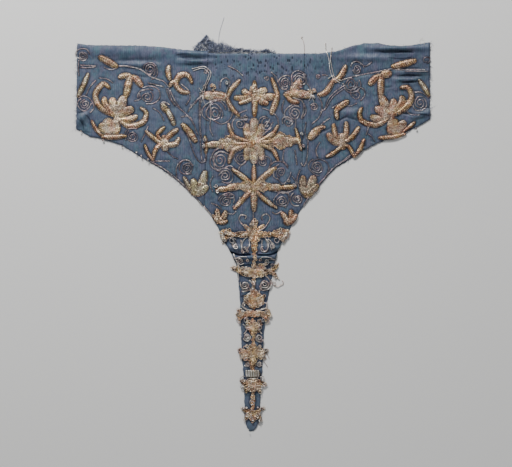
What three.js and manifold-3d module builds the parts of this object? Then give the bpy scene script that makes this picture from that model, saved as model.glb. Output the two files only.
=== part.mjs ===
// Stomacher of ribbed blue silk with raised metal-thread embroidery, lying flat on z = 0.
// All lengths are in millimetres, +Z up, +X to the garment's right as it is seen, +Y to its top edge.
// Places are read from a flat chart: millimetres across from its left side and down from its top.
import * as THREE from 'three';
import Module from 'manifold-3d';

const wasm = await Module();
wasm.setup();

// Driving dimensions
const CENTRE_ACROSS = 253;
const MIDDLE_DOWN = 224;
const CLOTH_THICK = 1.2;
const SEAM_GAP = 0.3;
const SEWN_GAP = 0.3;
const PETAL_HEIGHT = 1.6;

// Spacing of the cloth's points: along each piece, closer at the buckled neck, and across it
const CLOTH_STEP = 15;
const NECK_STEP = 3;
const NECK = { top: 240, bottom: 264 };
const WING_ROWS = 20;
const CENTRE_COLUMNS = 7;
const STRIP_STEP = 45;

// Finishes
const SILK = { color: 0x5a7394, roughness: 0.62, metalness: 0.0 };
const GOLD = { color: 0xc39a6e, roughness: 0.42, metalness: 0.55 };
const SILVER = { color: 0xbcb598, roughness: 0.4, metalness: 0.55 };
const FRAYED_SILK = { color: 0x3c5069, roughness: 0.8, metalness: 0.0 };

// Seams between the three cut pieces: straight lines from the top edge to the lower edge
const LEFT_SEAM = { top: [208.4, 51], bottom: [204.4, 207] };
const RIGHT_SEAM = { top: [305, 53.3], bottom: [301, 209.5] };

// Left wing, a row for each section from its raw outer edge to the seam
const LEFT_WING = [
  { top: [77.2, 43.5], bottom: [76, 129] },
  { top: [90, 45], bottom: [90, 136.5] },
  { top: [106, 45.4], bottom: [106, 140] },
  { top: [122, 45.4], bottom: [122, 145.5] },
  { top: [138, 45.5], bottom: [138, 155] },
  { top: [154, 46.2], bottom: [154, 164.5] },
  { top: [170, 48], bottom: [170, 175] },
  { top: [186, 50], bottom: [184.5, 187.5] },
  { top: [197, 50.6], bottom: [194, 197] },
  { top: beside(LEFT_SEAM, LEFT_SEAM.top[1], -1), bottom: beside(LEFT_SEAM, LEFT_SEAM.bottom[1], -1) },
];

// Right wing, a row for each section from the seam to its raw outer edge
const RIGHT_WING = [
  { top: beside(RIGHT_SEAM, RIGHT_SEAM.top[1], 1), bottom: beside(RIGHT_SEAM, RIGHT_SEAM.bottom[1], 1) },
  { top: [318, 53.4], bottom: [312, 195] },
  { top: [330, 52], bottom: [324, 180] },
  { top: [340, 50], bottom: [336, 167.5] },
  { top: [353, 45.5], bottom: [352, 158] },
  { top: [364, 43.2], bottom: [364, 150.5] },
  { top: [378, 43.2], bottom: [378, 143] },
  { top: [390, 45.5], bottom: [390, 138] },
  { top: [404, 46], bottom: [404, 133] },
  { top: [416, 44.5], bottom: [416, 127.5] },
  { top: [430, 42], bottom: [430, 119.5] },
];

// Centre piece with its long tail, a row for each section from the top edge to the tip
const CENTRE = [
  { down: 53.3, left: onSeam(LEFT_SEAM, 53.3, 1), right: onSeam(RIGHT_SEAM, 53.3, -1) },
  { down: 207, left: onSeam(LEFT_SEAM, 207, 1), right: onSeam(RIGHT_SEAM, 207, -1) },
  { down: 209.5, left: 206.3, right: onSeam(RIGHT_SEAM, 209.5, -1) },
  { down: 216, left: 211.5, right: 297 },
  { down: 228, left: 218, right: 290.5 },
  { down: 240, left: 223.5, right: 283 },
  { down: 252, left: 230.5, right: 277.5 },
  { down: 264, left: 236, right: 274.5 },
  { down: 288, left: 239, right: 270 },
  { down: 306, left: 240.2, right: 266.5 },
  { down: 336, left: 241.2, right: 263.8 },
  { down: 360, left: 242.2, right: 262.8 },
  { down: 390, left: 244.3, right: 261 },
  { down: 414, left: 244.6, right: 259.4 },
  { down: 421, left: 245, right: 259 },
  { down: 427, left: 246.8, right: 256.8 },
  { down: 431, left: 249, right: 253.4 },
];

// Creases and soft swells of the cloth: each is a ridge along a line, highest in its middle
const CREASES = [
  { from: [229, 258], to: [280, 256.5], halfWidth: 5, height: 2.4 },
  { from: [226, 248.5], to: [283, 247.5], halfWidth: 5.5, height: 1.5 },
  { from: [82, 51], to: [172, 54], halfWidth: 9, height: 1.5 },
  { from: [176, 53], to: [214, 54.5], halfWidth: 4.5, height: 1.9 },
  { from: [178, 62], to: [212, 61.5], halfWidth: 4.5, height: 1.7 },
  { from: [118, 64.5], to: [160, 65.5], halfWidth: 4.5, height: 1.1 },
  { from: [77, 124], to: [89, 112], halfWidth: 6, height: 1.8 },
  { from: [366, 48.5], to: [428, 48], halfWidth: 5, height: 2.0 },
  { from: [340, 57.5], to: [390, 58.5], halfWidth: 5.5, height: 1.4 },
  { from: [396, 73], to: [428, 72], halfWidth: 4.5, height: 1.5 },
  { from: [394, 80], to: [418, 79.5], halfWidth: 4.5, height: 1.6 },
  { from: [411, 117.5], to: [431, 112.5], halfWidth: 4.5, height: 1.8 },
  { from: [342, 112.5], to: [358, 112], halfWidth: 5, height: 1.2 },
];

// Narrow strip of shredded silk along the top edge of the centre piece
const FRAYED_STRIP = [
  { top: [209.8, 50.4], bottom: [209.8, 52.9] },
  { top: [222, 49.8], bottom: [222, 52.9] },
  { top: [246, 50.2], bottom: [246, 52.9] },
  { top: [276, 51.6], bottom: [276, 52.9] },
];

// Loose strands of that strip, each through its points, root first
const FRAYED_STRANDS = [
  { through: [[210.6, 51.5], [208.6, 43], [206.6, 34]], thick: 1.4 },
  { through: [[207, 35], [200, 42.5], [192.5, 48.8]], thick: 1.4 },
  { through: [[212, 51.5], [211, 44], [214, 38.5]], thick: 0.9 },
  { through: [[214.5, 51.5], [216.5, 44], [213.5, 41]], thick: 0.9 },
  { through: [[218.5, 51.5], [219, 35], [224, 17.1]], thick: 0.7 },
  { through: [[222, 51.5], [222.5, 44], [220.5, 39.5]], thick: 0.9 },
  { through: [[225, 51.5], [228, 45.5], [224, 44]], thick: 1.0 },
  { through: [[228.5, 51.5], [232, 47.5], [229.5, 45]], thick: 0.9 },
  { through: [[235, 51.5], [240, 48.5], [244.5, 48.3]], thick: 1.1 },
  { through: [[243, 51.5], [248, 49.3], [252, 49.6]], thick: 1.0 },
  { through: [[261, 51.8], [266, 49.4], [270.5, 50.4]], thick: 1.2 },
];

// Raised motifs, a row for each leaf or petal: the points that its middle line goes through, root
// first, and its greatest width
const MOTIFS = {
  bud_left: { metal: GOLD, petals: [
    { through: [[98.5, 56.5], [109, 62], [118, 67.5]], width: 6.6 },
  ] },
  edge_leaf_left: { metal: SILVER, petals: [
    { through: [[88.5, 73], [84.5, 83], [77.5, 97.5]], width: 5 },
  ] },
  spray_left: { metal: GOLD, petals: [
    { through: [[132, 76], [125, 75.5], [118, 78]], width: 5.5 },
    { through: [[131, 75], [128.5, 84], [125.5, 98]], width: 7.5 },
    { through: [[130, 76.5], [136, 79], [142.5, 87]], width: 6.5 },
    { through: [[110.5, 89], [103, 84], [95.5, 95], [100, 107], [114, 116]], width: 5.8 },
    { through: [[104, 96.5], [105.5, 105], [114, 116]], width: 7.5 },
    { through: [[118, 117], [114, 108], [112, 97.5]], width: 9.5 },
    { through: [[118, 117], [121, 107], [124, 95.5]], width: 11 },
    { through: [[118, 116], [125, 112], [134, 108.5]], width: 9.5 },
    { through: [[116, 117], [129, 126], [143, 122], [146, 113], [140, 107.5]], width: 5.5 },
    { through: [[118, 120], [128, 120], [137.5, 116]], width: 7 },
    { through: [[118, 115], [116, 122], [118, 132]], width: 8 },
    { through: [[120, 131], [111, 127], [106, 118.5]], width: 12 },
    { through: [[119, 132], [108, 130], [99, 124.5]], width: 11 },
    { through: [[127, 136], [114, 137], [101, 137]], width: 5 },
    { through: [[91.5, 120], [96, 129], [104, 137.5]], width: 3.8 },
  ] },
  curl_left: { metal: GOLD, petals: [
    { through: [[190, 92.5], [182, 91.5], [176, 84], [180, 75.5], [188, 75.5], [192.5, 84]], width: 5.6 },
    { through: [[178, 80], [171.5, 83.5], [169.5, 87]], width: 5 },
  ] },
  leaf_by_curl_left: { metal: GOLD, petals: [
    { through: [[169.5, 65], [168, 72], [170, 80.5]], width: 5.6 },
  ] },
  small_bud_left: { metal: SILVER, petals: [
    { through: [[162, 103.5], [164.5, 108], [169, 112.5]], width: 6.5 },
    { through: [[166.5, 110], [171, 117], [174.5, 125.5]], width: 5.8 },
  ] },
  inner_leaf_left: { metal: GOLD, petals: [
    { through: [[181.5, 123.5], [189, 132], [196.5, 142.5]], width: 7 },
  ] },
  plant_left: { metal: GOLD, petals: [
    { through: [[166, 151], [164.5, 143], [165, 135]], width: 9 },
    { through: [[164, 142], [157.5, 135], [165, 126.5]], width: 4.6 },
    { through: [[164, 141], [170, 135], [178.5, 128.5]], width: 5.2 },
    { through: [[165, 145], [175, 144], [179.5, 137.5]], width: 5.2 },
    { through: [[165, 146], [156, 140], [145, 130.5]], width: 4.8 },
    { through: [[163, 141], [155.5, 150], [153, 160]], width: 4.4 },
    { through: [[144.5, 144], [148, 153], [153.5, 161.5]], width: 4 },
  ] },
  edge_flower_left: { metal: SILVER, petals: [
    { through: [[195, 195.5], [189.5, 188], [183.5, 176.5]], width: 5 },
    { through: [[196, 196], [194, 188], [193.5, 178.5]], width: 8.5 },
    { through: [[196, 196], [202, 184], [205.5, 170.5]], width: 8.5 },
    { through: [[195, 195], [202, 191], [208, 185.5]], width: 7 },
  ] },
  small_flower_left: { metal: GOLD, petals: [
    { through: [[219, 224], [218, 217], [217, 208.5]], width: 6.4 },
    { through: [[219, 224], [223, 218], [226.5, 210.5]], width: 6.4 },
    { through: [[220, 223], [216, 219.5], [212.8, 214.5]], width: 4.6 },
    { through: [[218, 222], [223, 222.5], [228, 220.5]], width: 4.4 },
  ] },
  top_bar_left: { metal: GOLD, petals: [
    { through: [[201, 95.5], [214, 95.5], [229.5, 97.5]], width: 9 },
    { through: [[227.5, 98.5], [231, 90], [240.5, 79.5]], width: 4.6 },
    { through: [[226.5, 96.5], [231, 107], [239.5, 116.5]], width: 5 },
  ] },
  top_bar_centre: { metal: GOLD, petals: [
    { through: [[254.5, 80.5], [254.8, 98], [254.3, 117]], width: 6 },
    { through: [[255, 98], [246, 98.3], [233.5, 97.8]], width: 6 },
    { through: [[254, 98], [247, 94], [242.5, 89.5]], width: 7.5 },
    { through: [[254, 97], [246, 101], [238.5, 103.5]], width: 4.6 },
    { through: [[254, 98], [260, 93], [267, 89]], width: 9 },
    { through: [[254, 97], [264, 97.5], [277, 96]], width: 8 },
    { through: [[254, 96.5], [261, 101], [268.5, 104]], width: 7 },
    { through: [[271.5, 77.5], [275.5, 88], [278.5, 98]], width: 5 },
    { through: [[278.5, 94], [275, 104], [271, 115]], width: 6 },
  ] },
  top_bar_right: { metal: GOLD, petals: [
    { through: [[283.5, 94.5], [298, 94], [313.5, 95.5]], width: 9 },
    { through: [[292, 95], [295, 88], [301.5, 80]], width: 9 },
    { through: [[286, 96], [292, 101], [299.5, 102.5]], width: 5 },
  ] },
  rosette: { metal: GOLD, petals: [
    { through: [[254, 146], [254, 132], [254, 117.8]], width: 11 },
    { through: [[254, 145], [248.5, 136], [246.5, 123.5]], width: 9 },
    { through: [[254, 145], [259, 136], [261.5, 123.5]], width: 9 },
    { through: [[254, 141], [254, 153], [254, 164]], width: 10 },
    { through: [[254, 142], [248, 150], [246, 160.5]], width: 8 },
    { through: [[254, 142], [260, 150], [262, 160.5]], width: 8 },
    { through: [[256, 144], [246, 144], [232, 144]], width: 5 },
    { through: [[238, 144], [229, 143.7], [219, 144]], width: 15, lobes: 2 },
    { through: [[222, 144], [214, 144.5], [205, 145]], width: 7 },
    { through: [[204.5, 135.5], [206.5, 144], [205.5, 154]], width: 3.6 },
    { through: [[252, 143], [262, 142.5], [274, 141]], width: 5.4 },
    { through: [[269, 141.5], [280, 141], [292, 141]], width: 17, lobes: 2 },
    { through: [[287, 141], [293, 140.5], [301, 140]], width: 7 },
    { through: [[295.5, 127.5], [298.5, 139], [301.5, 151]], width: 4 },
    { through: [[250, 142], [234, 136.5], [228.5, 123]], width: 4.8 },
    { through: [[256, 143], [272, 134], [278.5, 124.5]], width: 4.8 },
    { through: [[250, 145], [234, 150], [228.5, 164]], width: 5.2 },
    { through: [[257, 143.5], [272, 149.5], [278.5, 161]], width: 5 },
  ] },
  star: { metal: GOLD, petals: [
    { through: [[254, 190], [254, 178], [254, 164.8]], width: 5.2 },
    { through: [[254, 185], [254, 199], [254, 212]], width: 6.4 },
    { through: [[256, 188], [244, 178], [231.5, 168.5]], width: 5.8 },
    { through: [[252, 188], [265, 176], [276.5, 167]], width: 5.8 },
    { through: [[256, 186], [245, 197], [233.5, 209.5]], width: 4.8 },
    { through: [[252, 186], [264, 199], [277.5, 208.5]], width: 4.8 },
    { through: [[255, 187.5], [246, 186.5], [236, 186]], width: 9, lobes: 2 },
    { through: [[239, 186.5], [233, 187], [226.5, 188.5]], width: 7 },
    { through: [[229.5, 188.5], [223, 189], [215.5, 190]], width: 5.4 },
    { through: [[253, 187.5], [264, 186.5], [272, 187.5]], width: 9, lobes: 2 },
    { through: [[268, 187], [275, 187.5], [282, 187.5]], width: 8 },
    { through: [[279, 187.5], [288, 187.5], [297, 186]], width: 5.4 },
  ] },
  first_bar: { metal: GOLD, petals: [
    { through: [[276, 234.5], [254, 234.5], [229, 234.5]], width: 6.6 },
    { through: [[233, 234], [227, 232], [219.5, 233]], width: 6.4 },
    { through: [[232, 235], [226, 237], [223.5, 242.5]], width: 4.6 },
    { through: [[272, 234.5], [281, 232], [289, 232.5]], width: 8 },
    { through: [[274, 235], [281, 236.5], [284, 241.5]], width: 4.8 },
    { through: [[254, 237], [254, 230], [254, 219.5]], width: 8 },
    { through: [[252, 235], [248, 229], [243.5, 224.5]], width: 5.4 },
    { through: [[256, 235], [260, 229], [264.5, 224.5]], width: 5.4 },
    { through: [[254, 233], [254.3, 241], [254.3, 251.5]], width: 7 },
  ] },
  second_bar: { metal: GOLD, petals: [
    { through: [[254.3, 262.5], [254.3, 269], [254.3, 279]], width: 6 },
    { through: [[256, 272], [249, 272.5], [239, 272]], width: 10, lobes: 2 },
    { through: [[242, 270], [237, 269], [231.5, 267.5]], width: 6 },
    { through: [[252, 272.5], [262, 273], [272, 270.5]], width: 10, lobes: 2 },
    { through: [[256, 271], [261, 267], [266, 264]], width: 6 },
    { through: [[269, 271], [274, 268.5], [277.5, 264.5]], width: 4.6 },
    { through: [[269, 271], [274, 273.5], [277.5, 278]], width: 4.4 },
  ] },
  shell: { metal: SILVER, petals: [
    { through: [[254.3, 307.5], [250, 302], [244.5, 296.5]], width: 8 },
    { through: [[254.3, 308], [254.3, 300], [254.3, 289.5]], width: 9 },
    { through: [[254.3, 307.5], [258.5, 302], [264, 296.5]], width: 8 },
  ] },
  third_bar: { metal: GOLD, petals: [
    { through: [[258, 314], [248, 314], [236, 315]], width: 6.6 },
    { through: [[250, 314], [261, 314], [271.5, 316]], width: 6.6 },
    { through: [[246, 315], [241, 312.5], [238, 309.5]], width: 4 },
    { through: [[246, 314], [241, 317], [239.5, 321.5]], width: 4 },
    { through: [[262, 315], [267, 312], [269.5, 309.5]], width: 4 },
    { through: [[262, 314], [267, 317.5], [267.5, 321.5]], width: 4 },
  ] },
  paired_leaves: { metal: SILVER, petals: [
    { through: [[253.5, 333], [249, 327], [247.5, 319.5]], width: 6 },
    { through: [[253.5, 333], [258, 327], [260.5, 319.5]], width: 6.4 },
  ] },
  fourth_bar: { metal: GOLD, petals: [
    { through: [[256, 353], [248, 353], [238, 350.5]], width: 9, lobes: 2 },
    { through: [[250, 353], [259, 353], [267.5, 350.5]], width: 9, lobes: 2 },
    { through: [[253, 357], [253, 351], [253, 344.5]], width: 7 },
    { through: [[254, 352], [247, 355.5], [241, 358.5]], width: 4.6 },
    { through: [[252, 352], [259, 355.5], [264.5, 358.5]], width: 4.6 },
    { through: [[253.3, 350], [253.3, 358], [253.3, 366.5]], width: 6 },
  ] },
  ladder: { metal: SILVER, petals: [
    { through: [[245.5, 374], [253, 374], [260.5, 374]], width: 8 },
  ] },
  fifth_bar: { metal: GOLD, petals: [
    { through: [[256, 384], [249, 383.5], [240.5, 381]], width: 6 },
    { through: [[250, 384], [258, 383.5], [266, 385]], width: 6 },
    { through: [[254, 382], [249, 387], [245.5, 391.5]], width: 5.4 },
    { through: [[252, 382], [257, 387], [260.5, 391.5]], width: 5.4 },
    { through: [[253, 380.5], [253.2, 386], [253.2, 393]], width: 6.6 },
  ] },
  stem_beads: { metal: GOLD, petals: [
    { through: [[253, 394], [252.8, 401], [252.6, 408.3]], width: 5 },
  ] },
  tip_flower: { metal: SILVER, petals: [
    { through: [[252.6, 408.8], [252.6, 414], [252.6, 421.5]], width: 8 },
    { through: [[252.6, 413], [247, 411], [241.5, 408.3]], width: 4 },
    { through: [[252.6, 413], [258, 411], [263.5, 408.3]], width: 4 },
    { through: [[252.6, 411], [248, 414.5], [244.8, 419.5]], width: 5 },
    { through: [[252.6, 411], [257.5, 414.5], [261, 419.5]], width: 5 },
  ] },
  bud_right: { metal: GOLD, petals: [
    { through: [[391, 67], [403, 64.2], [416.5, 60]], width: 6.8 },
  ] },
  edge_leaf_right: { metal: SILVER, petals: [
    { through: [[418.5, 79.5], [424, 87], [429.4, 96.4]], width: 5 },
  ] },
  spray_right: { metal: GOLD, petals: [
    { through: [[382, 75], [376, 78], [368.5, 85]], width: 6.5 },
    { through: [[381.5, 73], [381, 84], [380.5, 99]], width: 6.6 },
    { through: [[380, 76], [386, 74], [392, 73.5]], width: 8 },
    { through: [[399.5, 88], [408, 88], [411.5, 98], [404, 109], [391, 116]], width: 5.8 },
    { through: [[401, 95.5], [402, 103], [391, 116]], width: 8.5 },
    { through: [[391, 117], [386, 107], [381, 95.5]], width: 10.5 },
    { through: [[391, 117], [393, 108], [394, 98.5]], width: 9 },
    { through: [[392, 116], [384, 112.5], [375, 107]], width: 9.5 },
    { through: [[389, 118.5], [376, 125], [363, 121.5], [359.5, 114], [362.5, 107]], width: 5.4 },
    { through: [[390, 117], [380, 119.5], [370, 116.5]], width: 8 },
    { through: [[391, 115], [392, 122], [389, 133]], width: 8 },
    { through: [[387, 132], [393, 127], [396, 118.5]], width: 10 },
    { through: [[387, 132], [397, 129.5], [405.5, 121]], width: 11 },
    { through: [[378, 138], [392, 137], [406, 133.5]], width: 4.8 },
    { through: [[402, 132.5], [408, 128], [415.5, 121.5]], width: 3.8 },
  ] },
  curved_pair_right: { metal: GOLD, petals: [
    { through: [[317, 95], [326, 92], [334, 79]], width: 5.4 },
    { through: [[332, 82], [340, 77], [346.5, 65]], width: 6 },
  ] },
  small_bud_right: { metal: GOLD, petals: [
    { through: [[334.5, 111.5], [341, 106], [349, 100.5]], width: 6.4 },
    { through: [[337, 107.5], [336.5, 114], [337.5, 120]], width: 5 },
  ] },
  inner_leaf_right: { metal: GOLD, petals: [
    { through: [[308.5, 139.5], [314, 133.5], [320.5, 127]], width: 8 },
    { through: [[317, 129], [321, 127.5], [325.5, 127]], width: 4 },
  ] },
  plant_right: { metal: GOLD, petals: [
    { through: [[342, 150], [342.5, 141], [342, 133]], width: 9 },
    { through: [[343.5, 142], [346, 133], [346.5, 121.5]], width: 5.8 },
    { through: [[344, 142], [352, 137], [359.5, 126.5]], width: 5.2 },
    { through: [[341, 142], [335.5, 135], [333.5, 123.5]], width: 5.6 },
    { through: [[343, 142], [335, 141], [327, 133.5]], width: 8 },
    { through: [[343, 146], [349, 147], [354.5, 158]], width: 4.4 },
    { through: [[353.5, 158], [360, 149], [364.5, 138.5]], width: 4.4 },
    { through: [[343, 145], [335, 152], [325.5, 157.5]], width: 4.4 },
  ] },
  edge_flower_right: { metal: SILVER, petals: [
    { through: [[307, 198], [303.5, 188], [303, 175.5]], width: 8 },
    { through: [[307, 198], [311, 187], [314, 175.5]], width: 9.5 },
    { through: [[306, 196], [312, 190.5], [318.5, 184.5]], width: 7.5 },
  ] },
  small_flower_right: { metal: GOLD, petals: [
    { through: [[290, 224.5], [286, 219], [281.5, 212]], width: 6.2 },
    { through: [[290, 224.5], [291, 217], [291.5, 209.5]], width: 6.2 },
    { through: [[289, 224], [293, 220], [297, 214]], width: 5 },
    { through: [[291, 222.5], [287, 223], [283.5, 221]], width: 4.8 },
  ] },
};

// Section of a petal's padding: across in half widths, up in heights
const PETAL_SECTION = [[-1, 0], [1, 0], [0.55, 1], [-0.55, 1]];
// Height of a petal at its two ends and next to them, as shares of its height in the middle
const PETAL_END = { point: 0.25, ring: 0.45 };
// How full the petal's outline is, and how deep the waves in a lobed one are
const PETAL_FULLNESS = 0.9;
const LOBE_DEPTH = 0.2;
const PETAL_RING_STEP = 7;
const PETAL_RINGS = { fewest: 3, most: 8 };

// Loose strands: steps along each, its square section, and how much thinner its tip is
const STRAND_STEPS = 4;
const STRAND_SECTION = [[-0.5, 0], [0.5, 0], [0.5, 1], [-0.5, 1]];
const STRAND_TAPER = 0.35;
// The frayed edge lies this far above the surface, and a crease keeps this share of its line
// as a low end
const FRAY_CLEARANCE = 0.3;
const CREASE_END = 0.08;

// A point of a seam line at a given place down the chart, half a seam gap to one side
function onSeam(seam, down, side) {
  const share = (down - seam.top[1]) / (seam.bottom[1] - seam.top[1]);
  return seam.top[0] + share * (seam.bottom[0] - seam.top[0]) + side * SEAM_GAP / 2;
}

function beside(seam, down, side) {
  return [onSeam(seam, down, side), down];
}

// Chart place to model place
function place([across, down]) {
  return new THREE.Vector2(across - CENTRE_ACROSS, MIDDLE_DOWN - down);
}

// Height of the cloth's underside: zero where it rests, raised along each crease
function lift(point) {
  let height = 0;
  for (const crease of CREASES) {
    const start = place(crease.from);
    const along = place(crease.to).sub(start);
    const offset = point.clone().sub(start);
    const share = THREE.MathUtils.clamp(offset.dot(along) / along.lengthSq(), 0, 1);
    const away = offset.addScaledVector(along, -share).length() / crease.halfWidth;
    if (away < 1) {
      const inner = CREASE_END + (1 - 2 * CREASE_END) * share;
      const fade = Math.sqrt(Math.sin(Math.PI * inner));
      height = Math.max(height, crease.height * fade * Math.cos(away * Math.PI / 2) ** 2);
    }
  }
  return height;
}

function geometryOf(points, triangles) {
  const geometry = new THREE.BufferGeometry();
  geometry.setAttribute('position', new THREE.Float32BufferAttribute(points.flat(), 3));
  geometry.setIndex(triangles);
  return geometry;
}

// Wall of even thickness over a grid of model places: its upper face, its underside and its rim
function clothWall(grid, underside) {
  const rows = grid.length;
  const columns = grid[0].length;
  const points = [];
  for (const thick of [CLOTH_THICK, 0]) {
    for (const row of grid) {
      for (const point of row) {
        points.push([point.x, point.y, underside(point) + thick]);
      }
    }
  }
  const upper = (row, column) => row * columns + column;
  const lower = (row, column) => rows * columns + row * columns + column;
  const triangles = [];
  const quad = (a, b, c, d) => triangles.push(a, b, c, a, c, d);
  for (let row = 0; row < rows - 1; row += 1) {
    for (let column = 0; column < columns - 1; column += 1) {
      quad(upper(row, column), upper(row + 1, column), upper(row + 1, column + 1), upper(row, column + 1));
      quad(lower(row, column), lower(row, column + 1), lower(row + 1, column + 1), lower(row + 1, column));
    }
    quad(upper(row, 0), lower(row, 0), lower(row + 1, 0), upper(row + 1, 0));
    const last = columns - 1;
    quad(upper(row + 1, last), lower(row + 1, last), lower(row, last), upper(row, last));
  }
  const last = rows - 1;
  for (let column = 0; column < columns - 1; column += 1) {
    quad(upper(0, column + 1), lower(0, column + 1), lower(0, column), upper(0, column));
    quad(upper(last, column), lower(last, column), lower(last, column + 1), upper(last, column + 1));
  }
  return geometryOf(points, triangles);
}

// Evenly spaced shares of the way between two sections, with no step longer than the cloth's
function sharesBetween(length, step) {
  const count = Math.max(1, Math.ceil(length / step));
  return Array.from({ length: count }, (_, index) => index / count);
}

// Grid of a wing: each of its sections runs from the lower edge up to the top edge
function wingGrid(sections, rows, step) {
  const columns = [];
  sections.forEach((section, index) => {
    const top = place(section.top);
    const bottom = place(section.bottom);
    const next = sections[index + 1];
    const nextTop = next ? place(next.top) : top;
    const nextBottom = next ? place(next.bottom) : bottom;
    for (const share of next ? sharesBetween(top.distanceTo(nextTop), step) : [0]) {
      columns.push([bottom.clone().lerp(nextBottom, share), top.clone().lerp(nextTop, share)]);
    }
  });
  return columns.map(([low, high]) => (
    Array.from({ length: rows + 1 }, (_, row) => low.clone().lerp(high, row / rows))
  ));
}

// Grid of the centre piece: each of its sections runs from its left edge to its right edge
function centreGrid() {
  const rows = [];
  CENTRE.forEach((section, index) => {
    const next = CENTRE[index + 1] ?? section;
    const step = section.down >= NECK.top && section.down < NECK.bottom ? NECK_STEP : CLOTH_STEP;
    for (const share of next === section ? [0] : sharesBetween(next.down - section.down, step)) {
      const mix = (key) => THREE.MathUtils.lerp(section[key], next[key], share);
      const left = place([mix('left'), mix('down')]);
      const right = place([mix('right'), mix('down')]);
      rows.push(Array.from({ length: CENTRE_COLUMNS + 1 }, (_, column) => (
        left.clone().lerp(right, column / CENTRE_COLUMNS)
      )));
    }
  });
  return rows;
}

// Closed body through rings of points, with a point at each end where one is given
function ringBody(rings, root, tip) {
  const size = rings[0].length;
  const points = rings.flat();
  const triangles = [];
  for (let ring = 0; ring < rings.length - 1; ring += 1) {
    for (let side = 0; side < size; side += 1) {
      const a = ring * size + side;
      const b = ring * size + (side + 1) % size;
      triangles.push(a, b + size, b, a, a + size, b + size);
    }
  }
  const lastRing = (rings.length - 1) * size;
  const rootIndex = points.push(root) - 1;
  const tipIndex = points.push(tip) - 1;
  for (let side = 0; side < size; side += 1) {
    const next = (side + 1) % size;
    triangles.push(rootIndex, side, next, tipIndex, lastRing + next, lastRing + side);
  }
  return toSolid(geometryOf(points, triangles));
}

function toSolid(geometry) {
  return new wasm.Manifold(new wasm.Mesh({
    numProp: 3,
    vertProperties: geometry.attributes.position.array,
    triVerts: new Uint32Array(geometry.index.array),
  }));
}

function joined(solids) {
  const mesh = solids.reduce((whole, solid) => whole.add(solid)).getMesh();
  const geometry = new THREE.BufferGeometry();
  geometry.setAttribute('position', new THREE.BufferAttribute(new Float32Array(mesh.vertProperties), 3));
  geometry.setIndex(new THREE.BufferAttribute(new Uint32Array(mesh.triVerts), 1));
  return geometry;
}

function petalRings(length) {
  const wanted = Math.round(length / PETAL_RING_STEP) + 1;
  return THREE.MathUtils.clamp(wanted, PETAL_RINGS.fewest, PETAL_RINGS.most);
}

// Padded petal: an oval outline along its middle line, domed over the cloth below it
function petalSolid({ through, width, lobes = 0 }) {
  const line = new THREE.SplineCurve(through.map(place));
  const count = petalRings(line.getLength());
  const rings = [];
  for (let index = 1; index <= count; index += 1) {
    const turn = Math.PI * index / (count + 1);
    const along = (1 - Math.cos(turn)) / 2;
    const middle = line.getPointAt(along);
    const tangent = line.getTangentAt(along);
    const sideways = new THREE.Vector2(-tangent.y, tangent.x);
    const wave = lobes ? 1 - LOBE_DEPTH * (1 - Math.cos(2 * Math.PI * lobes * along)) : 1;
    const half = (width / 2) * Math.sin(turn) ** PETAL_FULLNESS * wave;
    const height = PETAL_HEIGHT * THREE.MathUtils.lerp(PETAL_END.ring, 1, Math.sin(turn));
    rings.push(PETAL_SECTION.map(([across, up]) => {
      const spot = middle.clone().addScaledVector(sideways, -across * half);
      return [spot.x, spot.y, lift(spot) + CLOTH_THICK + SEWN_GAP + up * height];
    }));
  }
  const end = (along) => {
    const spot = line.getPointAt(along);
    return [spot.x, spot.y, lift(spot) + CLOTH_THICK + SEWN_GAP + PETAL_HEIGHT * PETAL_END.point];
  };
  return ringBody(rings, end(0), end(1));
}

// Loose strand: a thin square bar along its curve, just above the surface
function strandSolid({ through, thick }) {
  const line = new THREE.SplineCurve(through.map(place));
  const rings = [];
  for (let index = 0; index <= STRAND_STEPS; index += 1) {
    const along = index / STRAND_STEPS;
    const middle = line.getPointAt(along);
    const tangent = line.getTangentAt(along);
    const sideways = new THREE.Vector2(-tangent.y, tangent.x);
    const size = thick * (1 - STRAND_TAPER * along);
    rings.push(STRAND_SECTION.map(([across, up]) => {
      const spot = middle.clone().addScaledVector(sideways, -across * size);
      return [spot.x, spot.y, FRAY_CLEARANCE + up * size];
    }));
  }
  const end = (along, size) => {
    const spot = line.getPointAt(along);
    return [spot.x, spot.y, FRAY_CLEARANCE + size / 2];
  };
  return ringBody(rings, end(0, thick), end(1, thick * (1 - STRAND_TAPER)));
}

function mesh(name, geometry, finish) {
  const piece = new THREE.Mesh(geometry, new THREE.MeshStandardMaterial(finish));
  piece.name = name;
  return piece;
}

function silkPieces() {
  return [
    mesh('silk_left_wing', clothWall(wingGrid(LEFT_WING, WING_ROWS, CLOTH_STEP), lift), SILK),
    mesh('silk_centre', clothWall(centreGrid(), lift), SILK),
    mesh('silk_right_wing', clothWall(wingGrid(RIGHT_WING, WING_ROWS, CLOTH_STEP), lift), SILK),
  ];
}

function frayedEdge() {
  const strip = toSolid(clothWall(wingGrid(FRAYED_STRIP, 1, STRIP_STEP), () => FRAY_CLEARANCE));
  return mesh('frayed_edge', joined([strip, ...FRAYED_STRANDS.map(strandSolid)]), FRAYED_SILK);
}

function embroidery() {
  return Object.entries(MOTIFS).map(([name, motif]) => (
    mesh(name, joined(motif.petals.map(petalSolid)), motif.metal)
  ));
}

const stomacher = new THREE.Group();
stomacher.name = 'stomacher';
stomacher.add(...silkPieces(), frayedEdge(), ...embroidery());

export default stomacher;
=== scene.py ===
"""A stomacher of ribbed blue silk with raised metal-thread embroidery, lying flat.

Places are read from a flat chart, in millimetres across from its left side and down from its top.
Everything is worked out in millimetres, and put into metres where a mesh is made.
"""

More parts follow.
